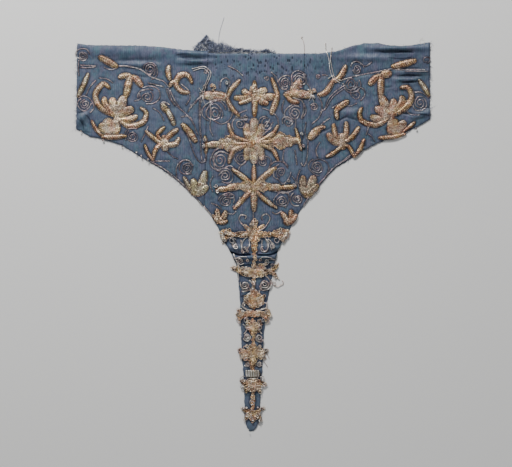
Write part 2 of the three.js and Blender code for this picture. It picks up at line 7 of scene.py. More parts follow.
import bpy
import numpy as np
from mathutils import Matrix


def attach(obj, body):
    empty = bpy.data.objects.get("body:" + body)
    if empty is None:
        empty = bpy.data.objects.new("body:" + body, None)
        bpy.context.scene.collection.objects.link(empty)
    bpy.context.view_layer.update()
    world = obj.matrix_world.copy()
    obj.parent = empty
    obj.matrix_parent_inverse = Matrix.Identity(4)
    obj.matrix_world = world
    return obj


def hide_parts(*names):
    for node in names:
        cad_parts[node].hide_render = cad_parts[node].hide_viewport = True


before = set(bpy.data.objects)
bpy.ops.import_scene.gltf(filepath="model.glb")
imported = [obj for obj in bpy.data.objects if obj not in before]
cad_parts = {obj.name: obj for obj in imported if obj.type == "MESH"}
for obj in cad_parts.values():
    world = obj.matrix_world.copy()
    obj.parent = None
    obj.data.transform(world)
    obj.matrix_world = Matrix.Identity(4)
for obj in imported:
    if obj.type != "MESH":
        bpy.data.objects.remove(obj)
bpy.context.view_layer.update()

MM = 0.001
CENTRE_ACROSS = 253
MIDDLE_DOWN = 224
CLOTH_THICK = 1.2
RNG = np.random.default_rng(1740)

GOLD_THREAD = "gold_thread"
SILVER_THREAD = "silver_thread"

# Seams between the three cut pieces, top end first
LEFT_SEAM = [(208.4, 51), (204.4, 207)]
RIGHT_SEAM = [(305, 53.3), (301, 209.5)]

# Left wing: the places of each section's top and bottom, from the raw outer side to the seam
LEFT_WING = [
    ((77.2, 43.5), (76, 129)), ((90, 45), (90, 136.5)), ((106, 45.4), (106, 140)),
    ((122, 45.4), (122, 145.5)), ((138, 45.5), (138, 155)), ((154, 46.2), (154, 164.5)),
    ((170, 48), (170, 175)), ((186, 50), (184.5, 187.5)), ((197, 50.6), (194, 197)),
    (LEFT_SEAM[0], LEFT_SEAM[1]),
]

# Right wing: the same, from the seam to the raw outer side
RIGHT_WING = [
    (RIGHT_SEAM[0], RIGHT_SEAM[1]), ((318, 53.4), (312, 195)), ((330, 52), (324, 180)),
    ((340, 50), (336, 167.5)), ((353, 45.5), (352, 158)), ((364, 43.2), (364, 150.5)),
    ((378, 43.2), (378, 143)), ((390, 45.5), (390, 138)), ((404, 46), (404, 133)),
    ((416, 44.5), (416, 127.5)), ((430, 42), (430, 119.5)),
]

# Centre piece with its tail: the places of each section's left and right end, from the top down
CENTRE = [
    ((208.3, 53.3), (305, 53.3)), ((204.4, 207), (301.1, 207)), ((206.3, 209.5), (301, 209.5)),
    ((211.5, 216), (297, 216)), ((218, 228), (290.5, 228)), ((223.5, 240), (283, 240)),
    ((230.5, 252), (277.5, 252)), ((236, 264), (274.5, 264)), ((239, 288), (270, 288)),
    ((240.2, 306), (266.5, 306)), ((241.2, 336), (263.8, 336)), ((242.2, 360), (262.8, 360)),
    ((244.3, 390), (261, 390)), ((244.6, 414), (259.4, 414)), ((245, 421), (259, 421)),
    ((246.8, 427), (256.8, 427)), ((249, 431), (253.4, 431)),
]

# Main creases: both ends of each ridge's line, its half width and its height
CREASES = [
    ((229, 258), (280, 256.5), 5, 2.4),
    ((226, 248.5), (283, 247.5), 5.5, 1.5),
    ((82, 51), (172, 54), 9, 1.5),
    ((176, 53), (214, 54.5), 4.5, 1.9),
    ((178, 62), (212, 61.5), 4.5, 1.7),
    ((118, 64.5), (160, 65.5), 4.5, 1.1),
    ((77, 124), (89, 112), 6, 1.8),
    ((366, 48.5), (428, 48), 5, 2.0),
    ((340, 57.5), (390, 58.5), 5.5, 1.4),
    ((396, 73), (428, 72), 4.5, 1.5),
    ((394, 80), (418, 79.5), 4.5, 1.6),
    ((411, 117.5), (431, 112.5), 4.5, 1.8),
    ((342, 112.5), (358, 112), 5, 1.2),
]
# A crease keeps this share of its line as a low end
CREASE_END = 0.08

# Small creases pressed into the upper face alone: ridges above zero, troughs below
SMALL_CREASES = [
    ((134, 75), (148, 77.5), 1.8, -0.8), ((148, 84), (158, 86), 1.5, -0.6),
    ((180, 57.5), (206, 59), 1.4, -0.8), ((186, 64.5), (203, 63), 1.3, -0.7),
    ((196, 67.5), (208, 66), 1.2, -0.6), ((178, 61), (190, 61.8), 1.2, -0.5),
    ((117, 60), (156, 59.5), 2.4, -0.4), ((172, 96), (183, 99), 1.6, -0.4),
    ((78, 113), (84, 112), 1.5, -0.6), ((80, 118), (86, 127), 1.6, -0.7),
    ((86, 115), (90, 124), 1.3, 0.5), ((77, 131), (92, 133), 1.4, -0.4),
    ((233, 118.5), (251, 118), 1.3, -0.9), ((234, 120.8), (250, 120.5), 1.4, 0.5),
    ((222, 136), (243, 142), 1.2, -0.6), ((217, 183), (238, 181), 1.6, -0.6),
    ((229, 251.4), (238, 254.8), 1.3, -0.7), ((237, 254.6), (252, 255), 1.2, -0.9),
    ((256, 255), (268, 255.2), 1.2, -0.9), ((267, 255), (280, 251.2), 1.4, -0.9),
    ((228, 249), (236, 251), 2.0, -0.4), ((270, 251.6), (280, 249), 1.8, -0.4),
    ((240, 266), (271, 265), 1.5, -0.5),
    ((262, 291), (271, 290), 1.5, -0.6), ((241, 297), (247, 295), 1.4, -0.5),
    ((376, 51.5), (412, 52), 2.2, -0.7), ((394, 69.5), (418, 68.5), 1.5, -0.8),
    ((398, 76.5), (421, 76), 1.6, -0.8), ((402, 83), (421, 81.5), 1.6, -0.8),
    ((385, 87.5), (392, 87), 1.3, -0.5), ((398, 113), (425, 115.5), 1.8, -0.9),
    ((420, 108), (430, 107.5), 1.4, -0.7), ((340, 120), (347, 116.6), 1.5, -0.8),
    ((347, 116.8), (362, 121), 1.5, -0.8), ((362, 121), (374, 128.5), 1.4, -0.6),
    ((319, 133.5), (331, 128), 1.4, -0.8), ((363, 145), (367, 147), 1.3, -0.8),
    ((370, 140), (375, 142), 1.2, -0.6), ((306, 76), (311, 86), 1.6, -0.5),
    ((299.6, 150), (300.2, 192), 1.2, -0.4), ((352, 74.5), (362, 73.5), 1.3, -0.6),
    ((310, 112), (312, 132), 2.4, -0.5), ((318, 160), (335, 157.5), 1.4, -0.5),
    ((243, 310), (263, 311), 1.5, -0.4), ((243, 341), (262, 342), 1.5, -0.4),
    ((244, 396), (260, 397), 1.6, -0.4), ((150, 100), (168, 101.5), 1.8, -0.4),
]

# The sharp fold across the neck, and softer ones, along which dark shade is painted on the silk as lines
NECK_FOLD = [
    [(229, 251.8), (234, 253.4), (240, 254.9), (251, 254.6)],
    [(257, 255), (268, 255), (274, 253.4), (280, 251)],
]
SOFT_FOLDS = [
    [(181, 57.6), (190, 59.4), (199, 58.4), (207, 59.6)], [(187, 64.6), (195, 65), (203, 63.2)],
    [(176, 55), (184, 54), (192, 54.6)], [(400, 76), (407, 74.4), (416, 75.4)],
    [(398, 80.6), (406, 82), (414, 80.8)], [(403, 85.4), (411, 84)],
    [(404, 112), (412, 115.4), (422, 114), (430, 116)],
    [(380, 51.6), (392, 53), (404, 51.4), (414, 52.6)], [(388, 57.6), (402, 58.6), (412, 57)],
    [(339, 121), (345, 117), (352, 118.6), (360, 121.6)], [(77, 118), (82, 122.6), (84, 130)],
    [(84, 113.6), (89, 118), (91, 125)], [(241, 265.6), (248, 264.6), (254, 265.4)],
    [(260, 265), (268, 263.6), (273, 265)], [(262, 290.6), (267, 292.4), (272, 290)],
    [(240, 297), (244, 295)], [(247, 332), (252, 331)], [(257, 331.6), (262, 332.4)],
]

# Bright spangles among the loops of the tail: small pale domes that stand for glints, painted highlights
GLINT_SPANGLES = [
    (256, 230.2), (270.4, 234.4), (235.6, 235), (239.2, 231.6), (256.4, 251.6), (244, 234.6),
    (262, 233), (279.6, 234), (242, 271.4), (265.2, 268.8), (250, 276), (261, 277.4), (252.6, 288.6),
    (255.4, 291), (247.4, 297), (258.6, 298), (242.6, 310.8), (242.4, 315), (266, 311.6),
    (270.6, 316.4), (239.6, 322), (240.4, 334.4), (245.6, 346.6), (251, 352), (262.6, 356.8),
    (249, 386), (247.6, 389.6), (262.8, 380.2), (257.7, 407.4), (243.4, 408.6), (251.6, 414.6),
    (252.6, 420.4), (248.4, 429.4), (227, 84), (305.4, 97),
]

# Darker blots on the silk, mostly painted shade at folds, creases and the seam, and soiling at the worn
# corners: across, down, size and depth
SHADED_AND_SOILED = [
    (79, 118, 8, 0.5), (84, 130, 6, 0.3), (196, 60, 11, 0.4), (405, 50, 22, 0.25), (424, 66, 14, 0.3),
    (410, 80, 16, 0.35), (352, 60, 12, 0.2), (425, 112, 10, 0.35), (340, 126, 10, 0.25),
    (370, 142, 12, 0.25), (232, 253, 6, 0.3), (277, 252, 6, 0.35), (266, 292, 6, 0.3),
    (240, 296, 5, 0.2), (303, 100, 12, 0.15), (308, 150, 14, 0.15), (254, 331, 10, 0.2),
    (253, 402, 8, 0.25), (160, 62, 12, 0.1), (120, 48, 30, 0.3), (332, 62, 16, 0.4), (388, 52, 18, 0.3),
    (243, 293, 4, 0.3),
]


def petal(*row, lobes=0, bare=False):
    """One padded leaf or petal: the places along its middle, root first, and then its greatest
    width. A lobed one has waves along its sides. A bare one has no rings heaped on it."""
    *through, width = row
    return {"through": through, "width": width, "lobes": lobes, "bare": bare}


# Raised motifs: their thread, and a row for each leaf or petal
MOTIFS = {
    "bud_left": (GOLD_THREAD, [
        petal((98.5, 56.5), (109, 62), (118, 67.5), 6.6),
    ]),
    "edge_leaf_left": (SILVER_THREAD, [
        petal((88.5, 73), (84.5, 83), (77.5, 97.5), 5),
    ]),
    "spray_left": (GOLD_THREAD, [
        petal((132, 76), (125, 75.5), (118, 78), 5.5),
        petal((131, 75), (128.5, 84), (125.5, 98), 7.5),
        petal((130, 76.5), (136, 79), (142.5, 87), 6.5),
        petal((110.5, 89), (103, 84), (95.5, 95), (100, 107), (114, 116), 5.8),
        petal((104, 96.5), (105.5, 105), (114, 116), 7.5),
        petal((118, 117), (114, 108), (112, 97.5), 9.5),
        petal((118, 117), (121, 107), (124, 95.5), 11),
        petal((118, 116), (125, 112), (134, 108.5), 9.5),
        petal((116, 117), (129, 126), (143, 122), (146, 113), (140, 107.5), 5.5),
        petal((118, 120), (128, 120), (137.5, 116), 7),
        petal((118, 115), (116, 122), (118, 132), 8),
        petal((120, 131), (111, 127), (106, 118.5), 12),
        petal((119, 132), (108, 130), (99, 124.5), 11),
        petal((127, 136), (114, 137), (101, 137), 5),
        petal((91.5, 120), (96, 129), (104, 137.5), 3.8),
    ]),
    "curl_left": (GOLD_THREAD, [
        petal((190, 92.5), (182, 91.5), (176, 84), (180, 75.5), (188, 75.5), (192.5, 84), 5.6),
        petal((178, 80), (171.5, 83.5), (169.5, 87), 5),
    ]),
    "leaf_by_curl_left": (GOLD_THREAD, [
        petal((169.5, 65), (168, 72), (170, 80.5), 5.6),
    ]),
    "small_bud_left": (SILVER_THREAD, [
        petal((162, 103.5), (164.5, 108), (169, 112.5), 6.5),
        petal((166.5, 110), (171, 117), (174.5, 125.5), 5.8),
    ]),
    "inner_leaf_left": (GOLD_THREAD, [
        petal((181.5, 123.5), (189, 132), (196.5, 142.5), 7),
    ]),
    "plant_left": (GOLD_THREAD, [
        petal((166, 151), (164.5, 143), (165, 135), 9),
        petal((164, 142), (157.5, 135), (165, 126.5), 4.6),
        petal((164, 141), (170, 135), (178.5, 128.5), 5.2),
        petal((165, 145), (175, 144), (179.5, 137.5), 5.2),
        petal((165, 146), (156, 140), (145, 130.5), 4.8),
        petal((163, 141), (155.5, 150), (153, 160), 4.4),
        petal((144.5, 144), (148, 153), (153.5, 161.5), 4),
    ]),
    "edge_flower_left": (SILVER_THREAD, [
        petal((195, 195.5), (189.5, 188), (183.5, 176.5), 5),
        petal((196, 196), (194, 188), (193.5, 178.5), 8.5),
        petal((196, 196), (202, 184), (205.5, 170.5), 8.5),
        petal((195, 195), (202, 191), (208, 185.5), 7),
    ]),
    "small_flower_left": (GOLD_THREAD, [
        petal((219, 224), (218, 217), (217, 208.5), 6.4),
        petal((219, 224), (223, 218), (226.5, 210.5), 6.4),
        petal((220, 223), (216, 219.5), (212.8, 214.5), 4.6),
        petal((218, 222), (223, 222.5), (228, 220.5), 4.4),
    ]),
    "top_bar_left": (GOLD_THREAD, [
        petal((201, 95.5), (214, 95.5), (229.5, 97.5), 9),
        petal((227.5, 98.5), (231, 90), (240.5, 79.5), 4.6),
        petal((226.5, 96.5), (231, 107), (239.5, 116.5), 5),
    ]),
    "top_bar_centre": (GOLD_THREAD, [
        petal((254.5, 80.5), (254.8, 98), (254.3, 117), 6),
        petal((255, 98), (246, 98.3), (233.5, 97.8), 6),
        petal((254, 98), (247, 94), (242.5, 89.5), 7.5),
        petal((254, 97), (246, 101), (238.5, 103.5), 4.6),
        petal((254, 98), (260, 93), (267, 89), 9),
        petal((254, 97), (264, 97.5), (277, 96), 8),
        petal((254, 96.5), (261, 101), (268.5, 104), 7),
        petal((271.5, 77.5), (275.5, 88), (278.5, 98), 5),
        petal((278.5, 94), (275, 104), (271, 115), 6),
    ]),
    "top_bar_right": (GOLD_THREAD, [
        petal((283.5, 94.5), (298, 94), (313.5, 95.5), 9),
        petal((292, 95), (295, 88), (301.5, 80), 9),
        petal((286, 96), (292, 101), (299.5, 102.5), 5),
    ]),
    "rosette": (GOLD_THREAD, [
        petal((254, 146), (254, 132), (254, 117.8), 11),
        petal((254, 145), (248.5, 136), (246.5, 123.5), 9),
        petal((254, 145), (259, 136), (261.5, 123.5), 9),
        petal((254, 141), (254, 153), (254, 164), 10),
        petal((254, 142), (248, 150), (246, 160.5), 8),
        petal((254, 142), (260, 150), (262, 160.5), 8),
        petal((256, 144), (246, 144), (232, 144), 5),
        petal((238, 144), (229, 143.7), (219, 144), 15, lobes=2),
        petal((222, 144), (214, 144.5), (205, 145), 7),
        petal((204.5, 135.5), (206.5, 144), (205.5, 154), 3.6),
        petal((252, 143), (262, 142.5), (274, 141), 5.4),
        petal((269, 141.5), (280, 141), (292, 141), 17, lobes=2),
        petal((287, 141), (293, 140.5), (301, 140), 7),
        petal((295.5, 127.5), (298.5, 139), (301.5, 151), 4),
        petal((250, 142), (234, 136.5), (228.5, 123), 4.8),
        petal((256, 143), (272, 134), (278.5, 124.5), 4.8),
        petal((250, 145), (234, 150), (228.5, 164), 5.2),
        petal((257, 143.5), (272, 149.5), (278.5, 161), 5),
    ]),
    "star": (GOLD_THREAD, [
        petal((254, 190), (254, 178), (254, 164.8), 5.2),
        petal((254, 185), (254, 199), (254, 212), 6.4),
        petal((256, 188), (244, 178), (231.5, 168.5), 5.8),
        petal((252, 188), (265, 176), (276.5, 167), 5.8),
        petal((256, 186), (245, 197), (233.5, 209.5), 4.8),
        petal((252, 186), (264, 199), (277.5, 208.5), 4.8),
        petal((255, 187.5), (246, 186.5), (236, 186), 9, lobes=2),
        petal((239, 186.5), (233, 187), (226.5, 188.5), 7),
        petal((229.5, 188.5), (223, 189), (215.5, 190), 5.4),
        petal((253, 187.5), (264, 186.5), (272, 187.5), 9, lobes=2),
        petal((268, 187), (275, 187.5), (282, 187.5), 8),
        petal((279, 187.5), (288, 187.5), (297, 186), 5.4),
    ]),
    "first_bar": (GOLD_THREAD, [
        petal((276, 234.5), (254, 234.5), (229, 234.5), 6.6),
        petal((233, 234), (227, 232), (219.5, 233), 6.4),
        petal((232, 235), (226, 237), (223.5, 242.5), 4.6),
        petal((272, 234.5), (281, 232), (289, 232.5), 8),
        petal((274, 235), (281, 236.5), (284, 241.5), 4.8),
        petal((254, 237), (254, 230), (254, 219.5), 8),
        petal((252, 235), (248, 229), (243.5, 224.5), 5.4, bare=True),
        petal((256, 235), (260, 229), (264.5, 224.5), 5.4, bare=True),
        petal((254, 233), (254.3, 241), (254.3, 251.5), 7),
    ]),
    "second_bar": (GOLD_THREAD, [
        petal((254.3, 262.5), (254.3, 269), (254.3, 279), 6),
        petal((256, 272), (249, 272.5), (239, 272), 10, lobes=2),
        petal((242, 270), (237, 269), (231.5, 267.5), 6),
        petal((252, 272.5), (262, 273), (272, 270.5), 10, lobes=2),
        petal((256, 271), (261, 267), (266, 264), 6),
        petal((269, 271), (274, 268.5), (277.5, 264.5), 4.6),
        petal((269, 271), (274, 273.5), (277.5, 278), 4.4),
    ]),
    "shell": (SILVER_THREAD, [
        petal((254.3, 307.5), (250, 302), (244.5, 296.5), 8),
        petal((254.3, 308), (254.3, 300), (254.3, 289.5), 9),
        petal((254.3, 307.5), (258.5, 302), (264, 296.5), 8),
    ]),
    "third_bar": (GOLD_THREAD, [
        petal((258, 314), (248, 314), (236, 315), 6.6),
        petal((250, 314), (261, 314), (271.5, 316), 6.6),
        petal((246, 315), (241, 312.5), (238, 309.5), 4),
        petal((246, 314), (241, 317), (239.5, 321.5), 4),
        petal((262, 315), (267, 312), (269.5, 309.5), 4),
        petal((262, 314), (267, 317.5), (267.5, 321.5), 4),
    ]),
    "paired_leaves": (SILVER_THREAD, [
        petal((253.5, 333), (249, 327), (247.5, 319.5), 6),
        petal((253.5, 333), (258, 327), (260.5, 319.5), 6.4),
    ]),
    "fourth_bar": (GOLD_THREAD, [
        petal((256, 353), (248, 353), (238, 350.5), 9, lobes=2),
        petal((250, 353), (259, 353), (267.5, 350.5), 9, lobes=2),
        petal((253, 357), (253, 351), (253, 344.5), 7),
        petal((254, 352), (247, 355.5), (241, 358.5), 4.6),
        petal((252, 352), (259, 355.5), (264.5, 358.5), 4.6),
        petal((253.3, 350), (253.3, 358), (253.3, 366.5), 6),
    ]),
    "ladder": (SILVER_THREAD, [
        petal((245.5, 374), (253, 374), (260.5, 374), 8),
    ]),
    "fifth_bar": (GOLD_THREAD, [
        petal((256, 384), (249, 383.5), (240.5, 381), 6),
        petal((250, 384), (258, 383.5), (266, 385), 6),
        petal((254, 382), (249, 387), (245.5, 391.5), 5.4),
        petal((252, 382), (257, 387), (260.5, 391.5), 5.4),
        petal((253, 380.5), (253.2, 386), (253.2, 393), 6.6),
    ]),
    "stem_beads": (GOLD_THREAD, [
        petal((253, 394), (252.8, 401), (252.6, 408.3), 5),
    ]),
    "tip_flower": (SILVER_THREAD, [
        petal((252.6, 408.8), (252.6, 414), (252.6, 421.5), 8),
        petal((252.6, 413), (247, 411), (241.5, 408.3), 4),
        petal((252.6, 413), (258, 411), (263.5, 408.3), 4),
        petal((252.6, 411), (248, 414.5), (244.8, 419.5), 5),
        petal((252.6, 411), (257.5, 414.5), (261, 419.5), 5),
    ]),
    "bud_right": (GOLD_THREAD, [
        petal((391, 67), (403, 64.2), (416.5, 60), 6.8),
    ]),
    "edge_leaf_right": (SILVER_THREAD, [
        petal((418.5, 79.5), (424, 87), (429.4, 96.4), 5),
    ]),
    "spray_right": (GOLD_THREAD, [
        petal((382, 75), (376, 78), (368.5, 85), 6.5),
        petal((381.5, 73), (381, 84), (380.5, 99), 6.6),
        petal((380, 76), (386, 74), (392, 73.5), 8),
        petal((399.5, 88), (408, 88), (411.5, 98), (404, 109), (391, 116), 5.8),
        petal((401, 95.5), (402, 103), (391, 116), 8.5),
        petal((391, 117), (386, 107), (381, 95.5), 10.5),
        petal((391, 117), (393, 108), (394, 98.5), 9),
        petal((392, 116), (384, 112.5), (375, 107), 9.5),
        petal((389, 118.5), (376, 125), (363, 121.5), (359.5, 114), (362.5, 107), 5.4),
        petal((390, 117), (380, 119.5), (370, 116.5), 8),
        petal((391, 115), (392, 122), (389, 133), 8),
        petal((387, 132), (393, 127), (396, 118.5), 10),
        petal((387, 132), (397, 129.5), (405.5, 121), 11),
        petal((378, 138), (392, 137), (406, 133.5), 4.8),
        petal((402, 132.5), (408, 128), (415.5, 121.5), 3.8),
    ]),
    "curved_pair_right": (GOLD_THREAD, [
        petal((317, 95), (326, 92), (334, 79), 5.4),
        petal((332, 82), (340, 77), (346.5, 65), 6),
    ]),
    "small_bud_right": (GOLD_THREAD, [
        petal((334.5, 111.5), (341, 106), (349, 100.5), 6.4),
        petal((337, 107.5), (336.5, 114), (337.5, 120), 5),
    ]),
    "inner_leaf_right": (GOLD_THREAD, [
        petal((308.5, 139.5), (314, 133.5), (320.5, 127), 8),
        petal((317, 129), (321, 127.5), (325.5, 127), 4),
    ]),
    "plant_right": (GOLD_THREAD, [
        petal((342, 150), (342.5, 141), (342, 133), 9),
        petal((343.5, 142), (346, 133), (346.5, 121.5), 5.8),
        petal((344, 142), (352, 137), (359.5, 126.5), 5.2),
        petal((341, 142), (335.5, 135), (333.5, 123.5), 5.6),
        petal((343, 142), (335, 141), (327, 133.5), 8),
        petal((343, 146), (349, 147), (354.5, 158), 4.4),
        petal((353.5, 158), (360, 149), (364.5, 138.5), 4.4),
        petal((343, 145), (335, 152), (325.5, 157.5), 4.4),
    ]),
    "edge_flower_right": (SILVER_THREAD, [
        petal((307, 198), (303.5, 188), (303, 175.5), 8),
        petal((307, 198), (311, 187), (314, 175.5), 9.5),
        petal((306, 196), (312, 190.5), (318.5, 184.5), 7.5),
    ]),
    "small_flower_right": (GOLD_THREAD, [
        petal((290, 224.5), (286, 219), (281.5, 212), 6.2),
        petal((290, 224.5), (291, 217), (291.5, 209.5), 6.2),
        petal((289, 224), (293, 220), (297, 214), 5),
        petal((291, 222.5), (287, 223), (283.5, 221), 4.8),
    ]),
}

# Couched scrolls and stems on the silk: a pair of threads along each line of places
STEMS = [
    [(118, 66), (125, 66), (138, 68.5), (143, 71), (150, 76), (157, 79), (163, 81), (170, 88)],
    [(104, 67), (108, 69), (113, 69.5), (118, 67)],
    [(148, 83), (157, 85), (164, 87)],
    [(80, 65), (88, 65.5), (96, 66)],
    [(80, 67.5), (88, 67.8), (95, 67)],
    [(99, 78), (107, 79), (113, 83)],
    [(78, 98), (84, 96), (90, 99), (94, 107), (90, 113)],
    [(160, 104), (164, 102), (170, 105)],
    [(166, 88), (169, 97), (175, 106)],
    [(170, 90), (174, 99), (180, 108)],
    [(190, 107), (197, 100), (204, 93)],
    [(220, 88), (221, 81), (226, 78), (230, 82), (228, 88), (226, 94)],
    [(200, 92), (200.4, 110), (200, 130), (201, 150), (202, 160), (204, 161.5), (205, 159)],
    [(181, 117), (190, 117), (196, 130), (198, 135)],
    [(165, 149), (172, 156), (178, 159)],
    [(150, 161.5), (160, 161), (170, 161)],
    [(177, 180), (176.5, 168), (182, 161), (189, 161), (193, 166)],
    [(168, 173.5), (176, 178.5), (186, 188), (192, 194.5)],
    [(204, 206.5), (208, 211), (213, 217)],
    [(303, 74), (306, 82), (310, 88), (313, 96)],
    [(304, 103), (306, 112), (301, 119)],
    [(322, 75), (325, 75), (328, 76)],
    [(345, 85), (335, 92), (328, 100), (325, 110)],
    [(345, 88), (333, 97), (326, 108), (320, 112)],
    [(277, 178), (283, 184), (289, 178), (291, 172)],
    [(295, 150), (296, 158), (297, 165)],
    [(308, 140), (307, 158), (304, 166), (301, 163)],
    [(311, 170), (315, 160), (325, 161), (329, 168), (326, 176)],
    [(288, 192), (289, 200), (285, 208)],
    [(252, 232), (248, 229), (242, 224), (239, 219), (241, 215), (246, 216), (245, 219)],
    [(256, 232), (263, 229), (268, 223), (270, 218), (267, 214), (262, 216), (262, 220)],
    [(241, 240), (242, 248), (245, 252), (249, 246)],
    [(262, 240), (262, 248), (266, 252), (268, 246), (266, 240)],
    [(270, 240), (274, 248)],
    [(244, 303), (242, 306), (247, 309)],
    [(267, 302), (266, 308), (261, 309)],
    [(425, 70), (412, 69.5), (399, 70), (391, 69), (376, 72), (365, 74), (352, 77), (342, 80)],
    [(428, 71.5), (416, 71.5), (405, 71.5)],
    [(368, 134), (372, 137), (375, 142)],
    [(355, 153), (349, 156), (343, 161), (335, 166)],
    [(225, 141), (221, 146), (215, 151)],
    [(233, 158), (226, 153), (219, 152)],
    [(246, 161), (239, 168), (241, 175)],
    [(211, 203), (218, 206), (222, 210)],
    [(243, 262), (238, 258), (233, 259)],
    [(265, 262), (270, 259), (275, 260)],
    [(248, 286), (251, 292), (246, 295)],
    [(262, 287), (259, 293), (263, 296)],
    [(243, 324), (247, 329), (244, 334)],
    [(263, 324), (259, 329), (262, 334)],
    [(284, 150), (283, 160), (288, 166)],
    [(273, 122), (268, 130), (261, 136)],
    [(270, 119), (264, 128), (258, 133)],
    [(282, 211), (276, 214), (272, 212)],
    [(226, 213), (233, 214), (236, 211)],
    [(253.2, 212), (253.4, 219), (253.2, 226)],
    [(254, 249), (254.3, 257), (253.8, 266)],
    [(253.6, 277), (253.8, 283), (253.4, 290)],
    [(252.8, 318), (252.6, 330), (253, 344)],
    [(252.6, 360), (252.8, 366), (252.4, 370)],
    [(252.6, 389), (252.4, 398), (252.6, 407)],
    [(151, 161.4), (166, 170.2), (180, 181.5), (192, 193), (202, 205)],
    [(303, 206), (311, 194), (323, 179.4), (335, 166.6), (350, 157.4)],
    [(79, 60), (78.4, 68), (79, 76)],
    [(209, 98), (211, 112), (210, 128), (213, 136)],
    [(214, 96), (224, 98), (232, 106), (231, 118), (222, 124), (213, 120)],
    [(218, 152), (214, 160), (216, 170), (226, 171)],
    [(236, 171), (231, 166), (225, 167.5)],
    [(213, 176), (210, 184), (213, 192)],
    [(268, 169), (274, 162), (283, 162), (288, 168)],
    [(292, 176), (296, 183), (293, 190), (284, 193), (275, 191)],
    [(300, 170), (297, 180), (300, 189)],
    [(232, 207), (238, 203), (240, 197)],
    [(276, 207), (270, 203), (267, 197)],
    [(293, 98), (302, 101), (304, 110), (301, 118)],
    [(284, 100), (282, 110), (286, 117), (294, 122)],
    [(247, 110), (240, 113), (234, 119)],
    [(262, 108), (270, 111), (277, 117), (279, 127)],
    [(318, 96), (322, 104), (320, 116), (312, 124)],
    [(306, 122), (305, 132), (307, 140)],
    [(332, 108), (340, 104), (350, 106), (357, 103)],
    [(181, 84), (188, 90), (190, 98), (186, 105)],
    [(142, 88), (150, 86), (158, 89), (160, 97), (154, 103), (146, 104)],
    [(153, 108), (160, 113), (164, 121)],
    [(96, 80), (90, 87), (86, 95)],
    [(134, 101), (140, 99), (139, 93)],
    [(187, 134), (190.5, 143), (193.5, 152), (198, 160.4), (202.4, 162.6), (206, 160), (205.6, 152),
     (203, 143)],
    [(168, 88), (172, 100), (178, 107), (186, 114), (193, 123), (197, 133)],
    [(200, 97), (195, 103), (190, 108), (188, 112)],
    [(199.6, 100), (199.2, 112), (199.6, 125), (201.6, 138)],
    [(148, 126), (145, 134), (141, 142)],
    [(320, 142), (316, 150), (318, 158)],
    [(330, 118), (322, 124), (318, 133)],
    [(362, 120), (368, 127), (366, 135)],
    [(404, 88), (412, 92), (421, 92)],
    [(410, 100), (406, 108), (410, 114), (420, 115)],
    [(372, 62), (366, 66), (360, 64)],
    [(228, 66), (236, 70), (243, 76)],
    [(271, 72), (276, 77), (279, 84), (285, 90)],
]

# Couched coils: centre, radius, turns, the outer end's angle in degrees, and 1 for a left-hand turn
COILS = [
    ((83, 56), 5, 2.4, 200, 1), ((150, 70), 6, 2.2, 300, 1), ((147, 97), 6, 2.0, 60, -1),
    ((85, 104), 5, 2.0, 90, 1), ((132.5, 136.5), 6, 2.4, 120, 1), ((187, 168), 6, 2.4, 250, 1),
    ((220, 160), 8.5, 2.2, 40, 1), ((225, 176), 6, 2.0, 180, -1), ((226, 201), 6, 2.4, 70, 1),
    ((215, 112), 11.5, 1.0, 10, 1), ((215, 113), 6, 1.6, 200, -1), ((206, 72), 2.2, 1.2, 20, 1),
    ((267, 78), 2.6, 1.3, 150, 1), ((285, 83), 5, 2.2, 330, 1), ((300, 80), 8, 2.8, 290, -1),
    ((295, 113), 7, 2.2, 45, 1), ((314, 107), 4, 1.8, 160, -1), ((318, 77), 2.4, 1.5, 0, 1),
    ((267, 125), 6.6, 1.7, 80, 1), ((288, 122), 6, 2.0, 200, -1), ((263, 162), 5, 2.0, 30, 1),
    ((281, 172), 5, 2.0, 260, -1), ((298, 199), 5, 2.2, 120, 1), ((282, 201), 6, 2.2, 320, -1),
    ((317, 167), 6, 2.4, 220, 1), ((426, 60), 4, 1.1, 290, 1), ((357, 69), 4.6, 1.9, 190, 1),
    ((351, 84), 7, 2.2, 20, -1), ((356, 94), 6, 1.6, 100, 1), ((420, 103), 8, 2.4, 200, 1),
    ((235, 245), 3, 1.6, 70, 1), ((272, 246), 3, 1.6, 110, -1), ((245, 285), 4.5, 1.9, 160, 1),
    ((264.5, 284), 4.8, 2.0, 20, -1), ((247, 337), 4, 1.9, 200, 1), ((259, 338), 4, 1.9, 340, -1),
    ((240, 124), 5.5, 1.7, 100, -1), ((241, 158), 5, 1.8, 60, 1), ((246, 118), 3, 1.2, 90, 1),
    ((232, 196), 3, 1.2, 150, 1), ((247.5, 364), 2.8, 1.6, 200, 1), ((259.5, 364), 2.8, 1.6, 340, -1),
]

